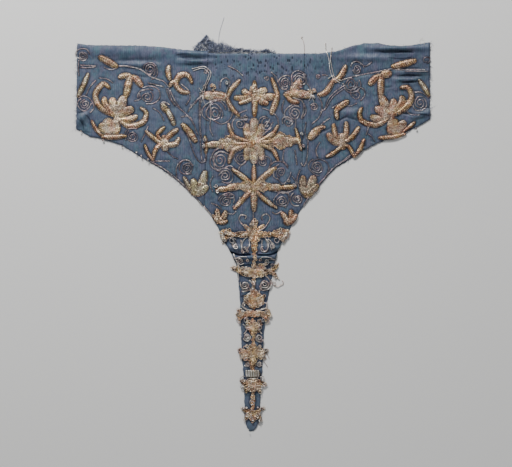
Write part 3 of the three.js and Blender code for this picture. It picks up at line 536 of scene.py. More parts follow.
# Loops of thick thread on the bars and down the tail: centre, radius, turns, outer angle, hand
LOOPS = [
    ((221.8, 233.6), 2.2, 1.3, 90, 1), ((225.6, 233), 2, 1.2, 0, 1),
    ((222.8, 237.2), 2.2, 1.3, 150, -1), ((225, 240.6), 1.6, 1.2, 40, 1),
    ((285.6, 233.4), 2.4, 1.3, 200, 1), ((281.4, 232.6), 1.9, 1.2, 90, -1),
    ((284.6, 237.6), 2.2, 1.3, 60, -1), ((281.8, 240.4), 1.5, 1.2, 300, 1),
    ((288, 235.2), 1.4, 1.2, 0, 1), ((232.4, 240.8), 3.4, 1.2, 20, 1), ((236, 247), 2.6, 1.5, 70, 1),
    ((245.2, 248.4), 1.7, 1.2, 0, 1), ((243, 252), 1.4, 1.1, 90, 1),
    ((247.4, 251.2), 1.5, 1.1, 200, -1), ((276.4, 240), 3.2, 1.0, 60, -1),
    ((240.6, 261), 3.6, 1.6, 330, -1), ((266.4, 262), 3.3, 1.5, 210, 1),
    ((247.8, 260.6), 1.6, 1.1, 90, 1), ((260.4, 259.6), 1.6, 1.1, 200, 1),
    ((234.6, 267.6), 2.2, 1.3, 0, 1), ((242.2, 267.6), 1.7, 1.2, 180, 1),
    ((246.4, 267.8), 1.8, 1.2, 0, -1), ((249.8, 269), 1.5, 1.1, 90, 1),
    ((259.6, 266.4), 2.6, 1.2, 30, 1), ((265, 268.6), 1.5, 1.2, 270, 1),
    ((272.6, 266), 2.3, 1.2, 180, -1), ((269.2, 270), 1.6, 1.2, 10, 1),
    ((245, 285.4), 4.3, 1.6, 160, 1), ((264.2, 284.6), 4.4, 1.7, 60, -1),
    ((253.8, 283.6), 1.8, 1.2, 90, 1), ((243.8, 304.6), 2.4, 1.3, 10, 1),
    ((249.6, 305.6), 1.6, 1.1, 170, -1), ((260.4, 304.4), 2, 1.2, 90, 1),
    ((252.6, 289.4), 1.2, 1.2, 90, -1), ((255.6, 290.6), 1.3, 1.2, 270, 1),
    ((239.6, 314.4), 3.2, 1.3, 0, 1), ((242.4, 311), 1.5, 1.2, 60, -1),
    ((237.6, 319), 1.7, 1.2, 100, 1), ((266.4, 312.6), 2.4, 1.3, 180, -1),
    ((270, 316.4), 2.0, 1.2, 120, 1), ((268.6, 320.4), 1.8, 1.1, 80, 1),
    ((263.6, 319.8), 2.0, 1.1, 300, -1), ((246, 320.4), 2.8, 1.2, 30, 1),
    ((247.6, 326.4), 2.9, 1.3, 300, -1), ((259.6, 321.6), 2.6, 1.2, 150, -1),
    ((259.4, 327.4), 2.7, 1.2, 240, 1), ((246.6, 337.6), 3.8, 1.7, 200, 1),
    ((259.5, 338), 4.3, 1.6, 340, -1), ((247.2, 346.2), 2.0, 1.2, 80, 1),
    ((259.4, 346.6), 2.2, 1.2, 100, -1), ((239.8, 350.2), 2.6, 1.4, 20, 1),
    ((241, 355.8), 2.8, 1.3, 60, -1), ((265.6, 349.8), 2.3, 1.3, 160, -1),
    ((246, 359.4), 1.9, 1.2, 0, 1), ((247.8, 364), 2.3, 1.3, 200, 1),
    ((258.6, 364.2), 2.3, 1.3, 340, -1), ((243, 379.2), 3.1, 0.8, 60, 1),
    ((243, 386.4), 2.9, 1.3, 330, -1), ((262, 378.6), 2.6, 1.3, 150, -1),
    ((263.8, 384.8), 2.1, 1.3, 200, 1), ((260.4, 387.4), 2.4, 1.2, 220, -1),
    ((252.6, 383), 2.5, 1.4, 0, 1), ((248, 388.6), 2.2, 1.2, 300, 1), ((256.6, 388.8), 1.9, 1.2, 90, 1),
    ((252.3, 402.6), 2.8, 1.2, 90, 1), ((252.2, 411.8), 3.0, 1.2, 270, 1),
    ((243.6, 408.6), 1.8, 1.2, 10, 1), ((246.6, 407.6), 1.1, 1.1, 100, 1),
    ((257.8, 407.8), 1.2, 1.2, 170, -1), ((261.6, 408.2), 1.8, 1.2, 20, -1),
    ((247, 415), 2.1, 1.3, 50, 1), ((257.6, 414.6), 2.1, 1.3, 130, -1),
    ((260, 420.6), 1.8, 1.2, 130, -1), ((251.4, 416.4), 1.6, 1.2, 90, 1),
    ((252.8, 419.8), 1.5, 1.2, 0, 1), ((205, 87), 2.2, 1.4, 60, 1), ((203, 93), 2, 1.3, 200, -1),
    ((314, 91), 2, 1.4, 120, -1), ((313, 97), 1.8, 1.3, 300, 1), ((227, 83.5), 2.2, 1.4, 0, 1),
    ((205, 140), 2, 1.3, 90, 1), ((204, 146.5), 1.8, 1.3, 270, -1), ((302, 134), 1.8, 1.3, 60, 1),
    ((303, 146), 1.8, 1.3, 270, 1), ((216, 186), 2, 1.3, 180, 1), ((217, 192), 1.8, 1.3, 180, -1),
    ((294, 185), 2, 1.3, 0, -1), ((289, 181), 1.8, 1.3, 60, 1), ((252.5, 225), 1.8, 1.4, 90, 1),
    ((103, 140.6), 0.9, 1.2, 0, 1), ((136.5, 152.6), 0.8, 1.2, 0, 1), ((141.5, 156), 0.8, 1.2, 90, 1),
    ((148, 160), 0.9, 1.2, 0, 1), ((416, 129), 0.9, 1.2, 0, 1), ((397, 114), 0.8, 1.2, 0, 1),
    ((239, 323), 1.0, 1.2, 0, 1), ((122, 146.6), 0.7, 1.2, 0, 1), ((81, 131.6), 0.8, 1.2, 0, 1),
]

# Clusters of purl rings on the motifs: the middle, the spread across and down, how many
KNOTS = {
    "top_bar_centre": ((252.5, 90), (3, 6), 12), "rosette": ((252.5, 144), (5, 4), 16),
    "star": ((252.5, 187.5), (7, 3), 18), "first_bar": ((254, 234.5), (16, 1.6), 30),
    "second_bar": ((253.5, 271.5), (11, 2.5), 34), "shell": ((253, 297), (5, 4), 26),
    "third_bar": ((253.5, 313.5), (10, 2), 24), "paired_leaves": ((253, 329), (3, 5), 14),
    "fourth_bar": ((252.3, 351.5), (7, 3), 26), "fifth_bar": ((252.5, 382.5), (6, 3.5), 28),
    "stem_beads": ((252.7, 397), (1.5, 4), 9), "tip_flower": ((252.6, 412.5), (5, 4), 22),
    "top_bar_left": ((213, 86), (4, 3), 8), "top_bar_right": ((312, 92), (4, 3), 8),
}

# Fans of long narrow loops: motif, centre, reach across and up, first and last angle, count, width
FANS = [
    ("first_bar", (223.4, 235), (4.2, 4.6), 70, 290, 6, 2.2),
    ("first_bar", (284.4, 235), (4.4, 4.8), -110, 110, 6, 2.2),
    ("first_bar", (254.3, 236.5), (7, 6.5), 205, 335, 6, 2.4),
    ("first_bar", (254.5, 234.5), (7, 4.2), 20, 160, 5, 2.2),
    ("second_bar", (254.3, 267), (14, 12.5), 198, 342, 11, 3.6),
    ("second_bar", (260.4, 270), (5, 6.5), 30, 150, 5, 2.4),
    ("second_bar", (246, 271), (6, 4.6), 20, 160, 5, 2.6),
    ("shell", (254.2, 307), (11.5, 17.5), 18, 162, 11, 3.4),
    ("third_bar", (241.4, 314), (5.4, 5.8), 95, 265, 5, 2.6),
    ("third_bar", (266, 314), (5.2, 6.6), -95, 85, 6, 2.4),
    ("third_bar", (253.6, 313.6), (7, 3.4), 0, 330, 8, 2.4),
    ("fourth_bar", (252.5, 353), (13.5, 9.4), 0, 345, 24, 3.0),
    ("fourth_bar", (252.8, 356), (6, 9.6), 235, 305, 5, 2.6),
    ("fifth_bar", (252.7, 383.4), (9.6, 8), 195, 345, 9, 2.8),
    ("tip_flower", (252.3, 412.4), (7.4, 8), 190, 350, 8, 2.8),
    ("paired_leaves", (253, 333), (7.5, 13), 50, 130, 7, 3),
]

# Chains of rings down the middle of the tail: motif, both ends, how far they spread to the sides
CHAINS = [
    ("first_bar", (254.4, 238), (254.2, 256), 1.6), ("second_bar", (254.6, 257.5), (254.2, 267), 1.5),
    ("second_bar", (253.8, 278.5), (253.6, 288), 1.2), ("third_bar", (252.8, 319), (252.8, 332), 0.8),
    ("fourth_bar", (253, 334), (254, 347), 1.2), ("ladder", (252.6, 361), (252.4, 370), 1.4),
    ("stem_beads", (253.4, 391), (253.6, 400), 1.2), ("tip_flower", (252.6, 405), (252.6, 409), 0.9),
]

# The upright threads of the ladder: their places across, and their ends down
LADDER_BARS = [246.6, 248.9, 251.2, 253.5, 255.8, 258.1]
LADDER_TOP = 370
LADDER_FOOT = 376.6

# Loose threads: their places, their radius, and how far they arch off what they lie on
LOOSE_THREADS = [
    ([(192, 69), (203, 66.5), (208, 69), (211, 73), (209, 80), (206, 86), (204, 92)], 0.32, 0.3),
    ([(193, 71), (202, 68.3), (206.5, 70.5), (209, 74), (207, 80), (204.5, 86), (202, 91)], 0.3, 0.3),
    ([(233.4, 253.6), (236, 260), (239.4, 267), (241.2, 270)], 0.42, 0.5),
    ([(236.6, 260), (238.6, 268), (238.4, 275), (238.8, 280.5)], 0.42, 0.4),
    ([(247.4, 237), (243.4, 240.4), (241.8, 246), (241.4, 251.6)], 0.36, 0.4),
    ([(249, 239.6), (249.6, 243), (249.2, 246.6)], 0.5, 0.3),
    ([(265, 238), (268.2, 243), (268, 248), (265, 251.6), (261.6, 251), (261, 247.6),
      (263.4, 246.4)], 0.38, 0.4),
    ([(266.6, 239), (270, 244), (271.4, 250)], 0.34, 0.3),
    ([(268.4, 239), (272.4, 243), (274.2, 248)], 0.34, 0.3),
    ([(237, 258), (241, 256.8), (247, 256.8)], 0.32, 0.2),
    ([(261, 257.2), (267, 257), (272, 258)], 0.32, 0.2),
    ([(271.6, 279), (271.4, 285), (268, 289.2), (263.6, 289.4)], 0.36, 0.3),
    ([(240.2, 282), (241, 286.6), (244, 290.2), (248.4, 289.4)], 0.36, 0.3),
    ([(242, 306.4), (246, 309.4), (252, 310.2)], 0.36, 0.3),
    ([(256, 310.4), (261.4, 309.8), (265.6, 308), (267.2, 304.2), (264.4, 302.6)], 0.38, 0.4),
    ([(246.6, 378), (252, 378.6), (258.6, 377.8)], 0.34, 0.3),
    ([(261.4, 417), (260.4, 421), (259, 424.4)], 0.3, 0.3),
    ([(271, 281), (272.6, 284), (275.4, 286.2), (278, 286.6), (280.2, 285.2), (282.8, 284.2), (283.2, 282),
      (282, 280.6)], 0.36, 0.4),
    ([(272.4, 283.2), (273.6, 281.8), (275.4, 282.4), (275.6, 284.4), (273.8, 285)], 0.3, 0.5),
    ([(271.6, 272), (273.2, 275), (275, 278), (276.8, 277.6), (277, 275), (275.6, 272.6),
      (273.6, 271.8)], 0.4, 0.4),
    ([(264, 362), (266, 364.4), (267.6, 367)], 0.28, 0.2),
    ([(261, 350), (266.4, 353), (269.3, 358.6)], 0.34, 0.5),
    ([(260.6, 351), (264.4, 354.6), (266.8, 359.4)], 0.34, 0.6),
    ([(259, 352), (262.4, 356), (263.6, 361)], 0.34, 0.5),
    ([(263.4, 352), (265.4, 355.4), (265.6, 358.6)], 0.3, 0.4),
    ([(340, 83), (333, 78), (330, 70), (329, 60), (326, 50), (325.5, 42.5)], 0.42, 0.4),
    ([(334, 77), (331.5, 66), (330.5, 58), (332, 47)], 0.38, 0.4),
    ([(342, 81), (336, 78.5), (333, 76), (328, 79)], 0.34, 0.4),
    ([(304.4, 54), (304.2, 46), (303, 40), (301, 37.5), (303, 36.8)], 0.22, 0.3),
    ([(199, 88), (203, 95), (201, 103)], 0.28, 0.3),
    ([(205, 90), (203, 98), (206, 106)], 0.28, 0.3),
    ([(308, 89), (311, 94), (309, 101)], 0.26, 0.3),
    ([(313, 88), (311.5, 95), (314, 102)], 0.26, 0.3),
    ([(421, 45), (420, 40.5), (423, 37.5)], 0.1, 0.2),
    ([(424, 45), (425, 41), (422, 39.5)], 0.1, 0.2),
]

# Strands of the shredded top edge: the places of each, root first, and its thickness
FRAYED_STRANDS = [
    ([(210.6, 51.5), (208.6, 43), (206.6, 34)], 1.4),
    ([(207, 35), (200, 42.5), (192.5, 48.8)], 1.4),
    ([(212, 51.5), (211, 44), (214, 38.5)], 0.9),
    ([(214.5, 51.5), (216.5, 44), (213.5, 41)], 0.9),
    ([(222, 51.5), (222.5, 44), (220.5, 39.5)], 0.9),
    ([(225, 51.5), (228, 45.5), (224, 44)], 1.0),
    ([(228.5, 51.5), (232, 47.5), (229.5, 45)], 0.9),
    ([(235, 51.5), (240, 48.5), (244.5, 48.3)], 1.1),
    ([(243, 51.5), (248, 49.3), (252, 49.6)], 1.0),
    ([(261, 51.8), (266, 49.4), (270.5, 50.4)], 1.2),
]
LONG_THREAD = [(218.5, 51.5), (219, 35), (224, 17.1)]

# Upper limit of the tangle of torn silk along the top edge
TANGLE_TOP = [(193, 49), (200, 43), (207, 36.5), (211, 41), (217, 43.5), (226, 44.5), (232, 48),
              (245, 49.3), (262, 50.4), (269, 49.8), (276, 52.4)]
TANGLE_FOOT = 52.2


def across_and_down(spots):
    """Chart distances of model places, across and down."""
    return spots[..., 0] + CENTRE_ACROSS, MIDDLE_DOWN - spots[..., 1]


def at_height(flat, height):
    """Flat places with their heights, as places in space."""
    return np.concatenate([flat, np.broadcast_to(height, flat.shape[:-1])[..., None]], -1)


def fade_between(value, low, high):
    """Zero below the first limit, one above the second, and a smooth rise between."""
    share = np.clip((value - low) / (high - low), 0, 1)
    return share * share * (3 - 2 * share)


def arch_over(count):
    """Half a sine wave over a number of points."""
    return np.sin(np.linspace(0, np.pi, count))


def chart(points):
    """Chart places as model places: across less the middle, and the middle less down."""
    places = np.array(points, float)
    return np.stack([places[..., 0] - CENTRE_ACROSS, MIDDLE_DOWN - places[..., 1]], -1)


def length_along(path):
    """The length along a path up to each of its points."""
    legs = np.linalg.norm(np.diff(path, axis=0), axis=1)
    return np.concatenate([[0], np.cumsum(legs)])


def evenly(points, step):
    """A polyline taken again at even lengths near a step, with the length at each point."""
    length = length_along(points)
    count = max(3, int(round(length[-1] / step)) + 1)
    along = np.linspace(0, length[-1], count)
    return np.stack([np.interp(along, length, axis) for axis in points.T], -1), along


# Points worked out on each leg of a curve, before they are spaced evenly
POINTS_A_LEG = 24


def smooth_line(points, step):
    """Catmull-Rom curve through points: each leg is the cubic that leaves and arrives along half
    the chord between the points on either side. It comes back at even lengths, with its tangents."""
    held = np.vstack([points[:1], points, points[-1:]])
    share = np.linspace(0, 1, POINTS_A_LEG, endpoint=False)[:, None]
    before, start, end, after = (held[i:len(held) - 3 + i, None] for i in range(4))
    leave, arrive = (end - before) / 2, (after - start) / 2
    legs = start + leave * share + (3 * end - 3 * start - 2 * leave - arrive) * share ** 2
    legs = legs + (2 * start - 2 * end + leave + arrive) * share ** 3
    line, along = evenly(np.vstack([legs.reshape(-1, points.shape[1]), points[-1:]]), step)
    return line, tangents(line), along


def tangents(line):
    """Unit directions along polylines, from the difference between each point's neighbours."""
    run = np.gradient(line, axis=-2)
    return run / np.maximum(np.linalg.norm(run, axis=-1, keepdims=True), 1e-9)


def leftwards(direction):
    """The flat directions turned a quarter turn to the left."""
    return np.stack([-direction[..., 1], direction[..., 0]], -1)


# Coils: points in a turn, how far they wind in, the turns that stay open, and how uneven they are
POINTS_A_TURN = 24
WOUND_IN = 0.84
OPEN_TURNS = 0.4
UNEVEN = 0.075


def coil_line(centre, radius, turns, start, hand):
    """Spiral: the radius shrinks evenly to a sixth of itself while the angle goes round, with small
    waves of two and three a turn."""
    share = np.linspace(0, 1, int(POINTS_A_TURN * turns) + 6)
    angle = np.radians(start) + hand * 2 * np.pi * turns * share
    reach = radius * (1 - WOUND_IN * share * min(1, turns - OPEN_TURNS))
    waves = np.sin(2 * angle + RNG.uniform(0, 6)) + 0.7 * np.sin(3.3 * angle + RNG.uniform(0, 6))
    reach = reach * (1 + UNEVEN * waves)
    return chart(centre) + reach[:, None] * np.stack([np.cos(angle), np.sin(angle)], -1)


# How full a leaf's outline is, how deep the waves of a lobed one are, and its outline's spacing
LEAF_FULLNESS = 0.72
LOBE_DEPTH = 0.2
OUTLINE_STEP = 0.7


def leaf_outline(row, step):
    """The middle line of a leaf, its tangents and lengths, its half width, which is half the
    greatest one times a power of the half circle along it, and the half circle itself."""
    line, tangent, along = smooth_line(chart(row["through"]), step)
    share = along / along[-1]
    swell = 2 * np.sqrt(np.clip(share * (1 - share), 0, None))
    wave = 1 - LOBE_DEPTH * (1 - np.cos(2 * np.pi * row["lobes"] * share)) * (row["lobes"] > 0)
    return line, tangent, along, row["width"] / 2 * swell ** LEAF_FULLNESS * wave, swell


def leaf_sides(row):
    """The lines down both sides of a leaf."""
    line, tangent, _, half, _ = leaf_outline(row, OUTLINE_STEP)
    left = leftwards(tangent) * half[:, None]
    return [line + left, line - left]


# Fields over the chart: a value for each small square, looked up between squares
FIELD_CELL = 0.5
FIELD_LOW = np.array([-192.0, -222.0])
FIELD_SHAPE = (768, 888)


def soften(field, across, up):
    """The field blurred by a bell of these two spreads, which multiplies its Fourier transform."""
    waves_across = np.fft.fftfreq(field.shape[0], FIELD_CELL)[:, None]
    waves_up = np.fft.rfftfreq(field.shape[1], FIELD_CELL)[None]
    bell = np.exp(-2 * np.pi ** 2 * ((across * waves_across) ** 2 + (up * waves_up) ** 2))
    return np.fft.irfft2(np.fft.rfft2(field) * bell, field.shape)


def rumple(across, up):
    """Random hills and hollows of these two spreads, about zero, with a spread of one in height."""
    field = soften(RNG.standard_normal(FIELD_SHAPE), across, up)
    return field / field.std()


def trail(lines, spread):
    """How close each square is to the lines: points dropped along them, blurred, up to one."""
    field = np.zeros(FIELD_SHAPE)
    places = np.vstack([evenly(line, FIELD_CELL)[0] for line in lines])
    cells = np.round((places - FIELD_LOW) / FIELD_CELL).astype(int)
    cells = np.clip(cells, 0, np.array(FIELD_SHAPE) - 1)
    field[cells[:, 0], cells[:, 1]] = 1
    field = soften(field, spread, spread)
    return np.clip(field / (FIELD_CELL / (spread * np.sqrt(2 * np.pi))), 0, 1)


def look_up(field, places):
    """The field at places, mixed from the four squares around each."""
    at = (places - FIELD_LOW) / FIELD_CELL
    at = np.clip(at, 0, np.array(field.shape) - 1.001)
    cell = at.astype(int)
    part = at - cell
    i, j = cell[..., 0], cell[..., 1]
    a, b = part[..., 0], part[..., 1]
    low = field[i, j] * (1 - a) + field[i + 1, j] * a
    high = field[i, j + 1] * (1 - a) + field[i + 1, j + 1] * a
    return low * (1 - b) + high * b


# Spacing of the points along stems, coils, loops, outer arcs and folds
STEM_STEP = 1.0
COIL_STEP = 0.85
LOOP_STEP = 0.6
ARC_STEP = 0.9
FOLD_STEP = 0.8

# A coil wider than this has an outer arc, this far outside it
WIDE_COIL = 4.4
ARC_GAP = 2.5

# How far the thread draws the silk in and how far painted shade spreads beside threads, how far wear
# spreads from threads and from leaves, how far painted shade spreads beside leaves, and how wide a painted
# fold shade is
THREAD_SPREAD = 0.9
THREAD_WEAR = 3.2
LEAF_WEAR = 4.0
LEAF_SPREAD = 1.0
FOLD_SPREAD = 0.85

STEM_LINES = [smooth_line(chart(stem), STEM_STEP)[0] for stem in STEMS]
COIL_LINES = [evenly(coil_line(*coil), COIL_STEP)[0] for coil in COILS]
LOOP_LINES = [evenly(coil_line(*loop), LOOP_STEP)[0] for loop in LOOPS]

# The silk's rumples, drawn in this order: broad, fine, and along its edges
BROAD_RUMPLE = rumple(8, 3.6)
FINE_RUMPLE = rumple(2.6, 1.3)
EDGE_RUMPLE = rumple(0.8, 0.8)

for centre, radius, _, _, hand in COILS:
    if radius > WIDE_COIL:
        turns, start = RNG.uniform(0.35, 0.7), RNG.uniform(0, 360)
        COIL_LINES.append(evenly(coil_line(centre, radius + ARC_GAP, turns, start, hand), ARC_STEP)[0])

COUCHED_LINES = STEM_LINES + COIL_LINES
PETAL_SIDES = [side for _, rows in MOTIFS.values() for row in rows for side in leaf_sides(row)]
NECK_LINES = [smooth_line(chart(fold), FOLD_STEP)[0] for fold in NECK_FOLD]
FOLD_LINES = [smooth_line(chart(fold), FOLD_STEP)[0] for fold in SOFT_FOLDS]
DRAWN_IN = trail(COUCHED_LINES, THREAD_SPREAD)
WORN = trail(COUCHED_LINES + LOOP_LINES, THREAD_WEAR) + 0.5 * trail(PETAL_SIDES, LEAF_WEAR)
# Painted shade on the silk beside the couched threads, loops and leaf outlines
WORK_SHADE = trail(COUCHED_LINES + LOOP_LINES, THREAD_SPREAD) + trail(PETAL_SIDES, LEAF_SPREAD)
# Painted shade along the neck fold and the softer folds
FOLD_SHADE_FIELD = trail(NECK_LINES, FOLD_SPREAD) + 0.5 * trail(FOLD_LINES, FOLD_SPREAD)


def ridge_at(places, start, end, half_width, height):
    """One crease: its height times the squared cosine of the distance from its line over the half
    width, times the root of the sine along it."""
    first, last = chart(start), chart(end)
    run = last - first
    offset = places - first
    share = np.clip(offset @ run / (run @ run), 0, 1)
    away = np.linalg.norm(offset - share[..., None] * run, axis=-1) / half_width
    fade = np.sqrt(np.sin(np.pi * (CREASE_END + (1 - 2 * CREASE_END) * share)))
    return height * fade * np.cos(np.clip(away, 0, 1) * np.pi / 2) ** 2


def underside(places):
    """Height of the cloth's underside: the highest of the main creases at each place."""
    return np.max([ridge_at(places, *crease) for crease in CREASES], axis=0)


def pressed_in(places):
    """Height of the small creases alone, below zero in the troughs."""
    return np.sum([ridge_at(places, *crease) for crease in SMALL_CREASES], axis=0)


# Heights of the broad and fine rumples, and depth of the groove under a couched thread
BROAD_HILLS = 0.17
FINE_HILLS = 0.08
GROOVE_DEPTH = 0.2


def silk_top(places):
    """Height of the silk's upper face: the wall on its underside, the small creases, the rumples,
    and a shallow groove where threads are couched."""
    pressed = pressed_in(places)
    hills = BROAD_HILLS * look_up(BROAD_RUMPLE, places) + FINE_HILLS * look_up(FINE_RUMPLE, places)
    return underside(places) + CLOTH_THICK + pressed + hills - GROOVE_DEPTH * look_up(DRAWN_IN, places)


def ground_at(places):
    """Height of what lies under flat places: the silk's upper face, falling to the floor where
    COVER, the field of where the silk lies, ends."""
    return silk_top(places) * fade_between(look_up(COVER, places), 0.2, 0.8)


class Work:
    """Grids and tubes gathered into one mesh. Each point carries its lay, which is how far along and across
    its thread or petal it is and a random number, and its tint, which is how deep in a groove it is, where
    shade is painted, how pale it is and how worn it is."""

    def __init__(self):
        self.points, self.lay, self.tint, self.faces, self.finishes = [], [], [], [], []
        self.size = 0

    def add(self, points, faces, lay, tint, finish=0):
        """Take in some points, blocks of faces that number them, their lay and tint, and the number
        of their material."""
        points = points.reshape(-1, 3)
        self.points.append(points)
        self.lay.append(np.broadcast_to(lay, points.shape))
        self.tint.append(np.broadcast_to(tint, points.shape))
        for block in faces:
            self.faces.append(block + self.size)
            self.finishes.append(np.full(len(block), finish))
        self.size += len(points)

    def finish(self, name, materials):
        """The mesh as a piece that rides on the root, smooth shaded."""
        mesh = bpy.data.meshes.new(name)
        points = np.concatenate(self.points) * MM
        mesh.vertices.add(len(points))
        mesh.vertices.foreach_set("co", points.ravel())
        corners = np.concatenate([block.ravel() for block in self.faces])
        sizes = np.concatenate([np.full(len(block), block.shape[1]) for block in self.faces])
        mesh.loops.add(len(corners))
        mesh.loops.foreach_set("vertex_index", corners.astype(np.int32))
        mesh.polygons.add(len(sizes))
        starts = np.concatenate([[0], np.cumsum(sizes)[:-1]])
        mesh.polygons.foreach_set("loop_start", starts.astype(np.int32))
        mesh.polygons.foreach_set("material_index", np.concatenate(self.finishes).astype(np.int32))
        for attribute, values in (("lay", self.lay), ("tint", self.tint)):
            data = mesh.attributes.new(attribute, "FLOAT_VECTOR", "POINT").data
            data.foreach_set("vector", np.concatenate(values).astype(np.float32).ravel())
        mesh.update(calc_edges=True)
        mesh.validate()
        mesh.shade_smooth()
        for material in materials:
            mesh.materials.append(material)
        piece = bpy.data.objects.new(name, mesh)
        bpy.context.scene.collection.objects.link(piece)
        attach(piece, "root")
        return piece


def ring_faces(count, rings, sides):
    """Faces of tubes whose points are numbered by tube, ring and side: four-sided ones between
    rings, and one across each end."""
    number = np.arange(count * rings * sides).reshape(count, rings, sides)
    turned = np.roll(number, -1, axis=2)
    walls = np.stack([number[:, :-1], turned[:, :-1], turned[:, 1:], number[:, 1:]], -1)
    return [walls.reshape(-1, 4), number[:, 0, ::-1], number[:, -1]]


def tubes(paths, radius, sides):
    """Round tubes along paths of equal count: each point goes round its path in the plane of the
    flat direction to its left and the direction square to both."""
    along = tangents(paths)
    left = np.concatenate([leftwards(along[..., :2]), np.zeros_like(along[..., :1])], -1)
    left = left / np.maximum(np.linalg.norm(left, axis=-1, keepdims=True), 1e-6)
    raised = np.cross(along, left)
    angle = 2 * np.pi * (np.arange(sides) + 0.5) / sides
    radius = np.broadcast_to(radius, paths.shape[:2])[..., None, None]
    turn = np.cos(angle)[:, None] * left[..., None, :] + np.sin(angle)[:, None] * raised[..., None, :]
    return paths[..., None, :] + radius * turn


def on_silk(places, height):
    """Flat places raised to a height above the silk's upper face."""
    return at_height(places, silk_top(places) + height)


def lay_thread(work, path, radius, sides=5, pale=0.5, wear=0.0, finish=0):
    """One thread along a path in space, with its length, and one random number, in its lay."""
    rings = len(path)
    points = tubes(path[None], radius, sides)
    lay = np.zeros((rings, sides, 3))
    lay[..., 0] = length_along(path)[:, None]
    lay[..., 1] = np.arange(sides)
    lay[..., 2] = RNG.random()
    work.add(points, ring_faces(1, rings, sides), lay.reshape(-1, 3), (0, pale, wear), finish)


def lay_fibres(work, paths, radius, tone):
    """Fine three-sided fibres along paths of equal count, each with a tone of its own."""
    count, rings = paths.shape[:2]
    lay = np.zeros((count, rings, 3, 3))
    lay[..., 2] = tone[:, None, None]
    work.add(tubes(paths, radius, 3), ring_faces(count, rings, 3), lay.reshape(-1, 3), (0, 0.5, 0))


def couch_pair(work, line, radius=0.28, gap=0.27, pale=0.5):
    """Two threads side by side along a line on the silk."""
    left = leftwards(tangents(line))
    for side in (-1, 1):
        lay_thread(work, on_silk(line + side * gap * left, radius * 0.8), radius, pale=pale)


def couching_stitches(work, line, spacing=3.2, half=0.75, top=0.62, radius=0.09):
    """Small stitches over a pair of threads: each is a half hoop across the line."""
    middles, _ = evenly(line, spacing)
    if len(middles) > 3:
        middles = middles[1:-1]
    direction = tangents(middles) if len(middles) > 2 else np.tile([[1.0, 0.0]], (len(middles), 1))
    left = leftwards(direction) + RNG.normal(0, 0.15, direction.shape)
    swing = np.linspace(-1, 1, 5)
    places = middles[:, None] + left[:, None] * (half * swing)[None, :, None]
    height = silk_top(middles)[:, None] + top * (1 - swing ** 2)[None] - 0.05
    points = tubes(at_height(places, height), radius, 3)
    work.add(points, ring_faces(len(places), len(swing), 3), (0, 0, 0.5), (0, 0.5, 0.3))


# Threads of the padded leaves: their spacing, how many lie in a band, and their slant; on a broad
# leaf they lie in bricks of this length and width
THREAD_PITCH = 1.1
THREADS_IN_BAND = 2
THREAD_SLANT = 0.6
VEIN_WIDTH = 0.35
BRICK_LENGTH = 2.4
BRICK_WIDTH = 1.6
BRICK_DEPTH = 0.3
THREAD_DEPTH = 0.24

# How far single threads stand out of a leaf's side, and how far inside its solid's outline it stays
TOOTH = 0.6
LEAF_INSET = 0.35

# Widths from which a leaf has a vein and from which it has bricks, and the height of each kind's
# arch; the tail starts below this place
NARROW_WIDTH = 5.7
BROAD_WIDTH = 7.8
LEAF_RISE = 1.3
BROAD_RISE = 0.95
TAIL_RISE = 0.55
TAIL_TOP = 228

# A random tone for each numbered thread
CHANCE = RNG.random(4096)


def tone_of(number, stride, offset):
    """The tones of numbered threads."""
    return CHANCE[(number.astype(int) * stride + offset) % CHANCE.size]


def brick_threads(along, reach, offset):
    """How high the threads of a broad leaf stand, in staggered bricks, and their tones."""
    band = np.round(reach / BRICK_WIDTH)
    phase = along / BRICK_LENGTH + 0.5 * (band % 2)
    ridge = np.abs(np.sin(np.pi * phase)) ** 0.6
    ridge = ridge * (0.1 + 0.9 * np.cos(np.pi * (reach / BRICK_WIDTH - band)) ** 2)
    return ridge, tone_of(np.floor(phase) + 31 * band, 7, offset)


def slanted_threads(along, reach, offset, chevron):
    """How high the threads of a narrower leaf stand, slanted in bands or, in a chevron, meeting at
    a vein, and their tones."""
    lean = -np.abs(reach) if chevron else reach
    phase = (along + THREAD_SLANT * lean) / THREAD_PITCH
    ridge = 0.7 + 0.3 * np.cos(2 * np.pi * phase)
    ridge = ridge * (1 - chevron * np.exp(-(reach / VEIN_WIDTH) ** 2))
    number = np.round(phase) + 577 * (chevron & (reach < 0))
    group = np.floor(number / THREADS_IN_BAND + 0.5)
    edge = np.abs(phase / THREADS_IN_BAND - np.round(phase / THREADS_IN_BAND - 0.5) - 0.5)
    ridge = ridge * (1 - 0.95 * np.exp(-(edge / 0.18) ** 2))
    return ridge, 0.25 * tone_of(number, 7, offset) + 0.75 * tone_of(group, 13, offset)


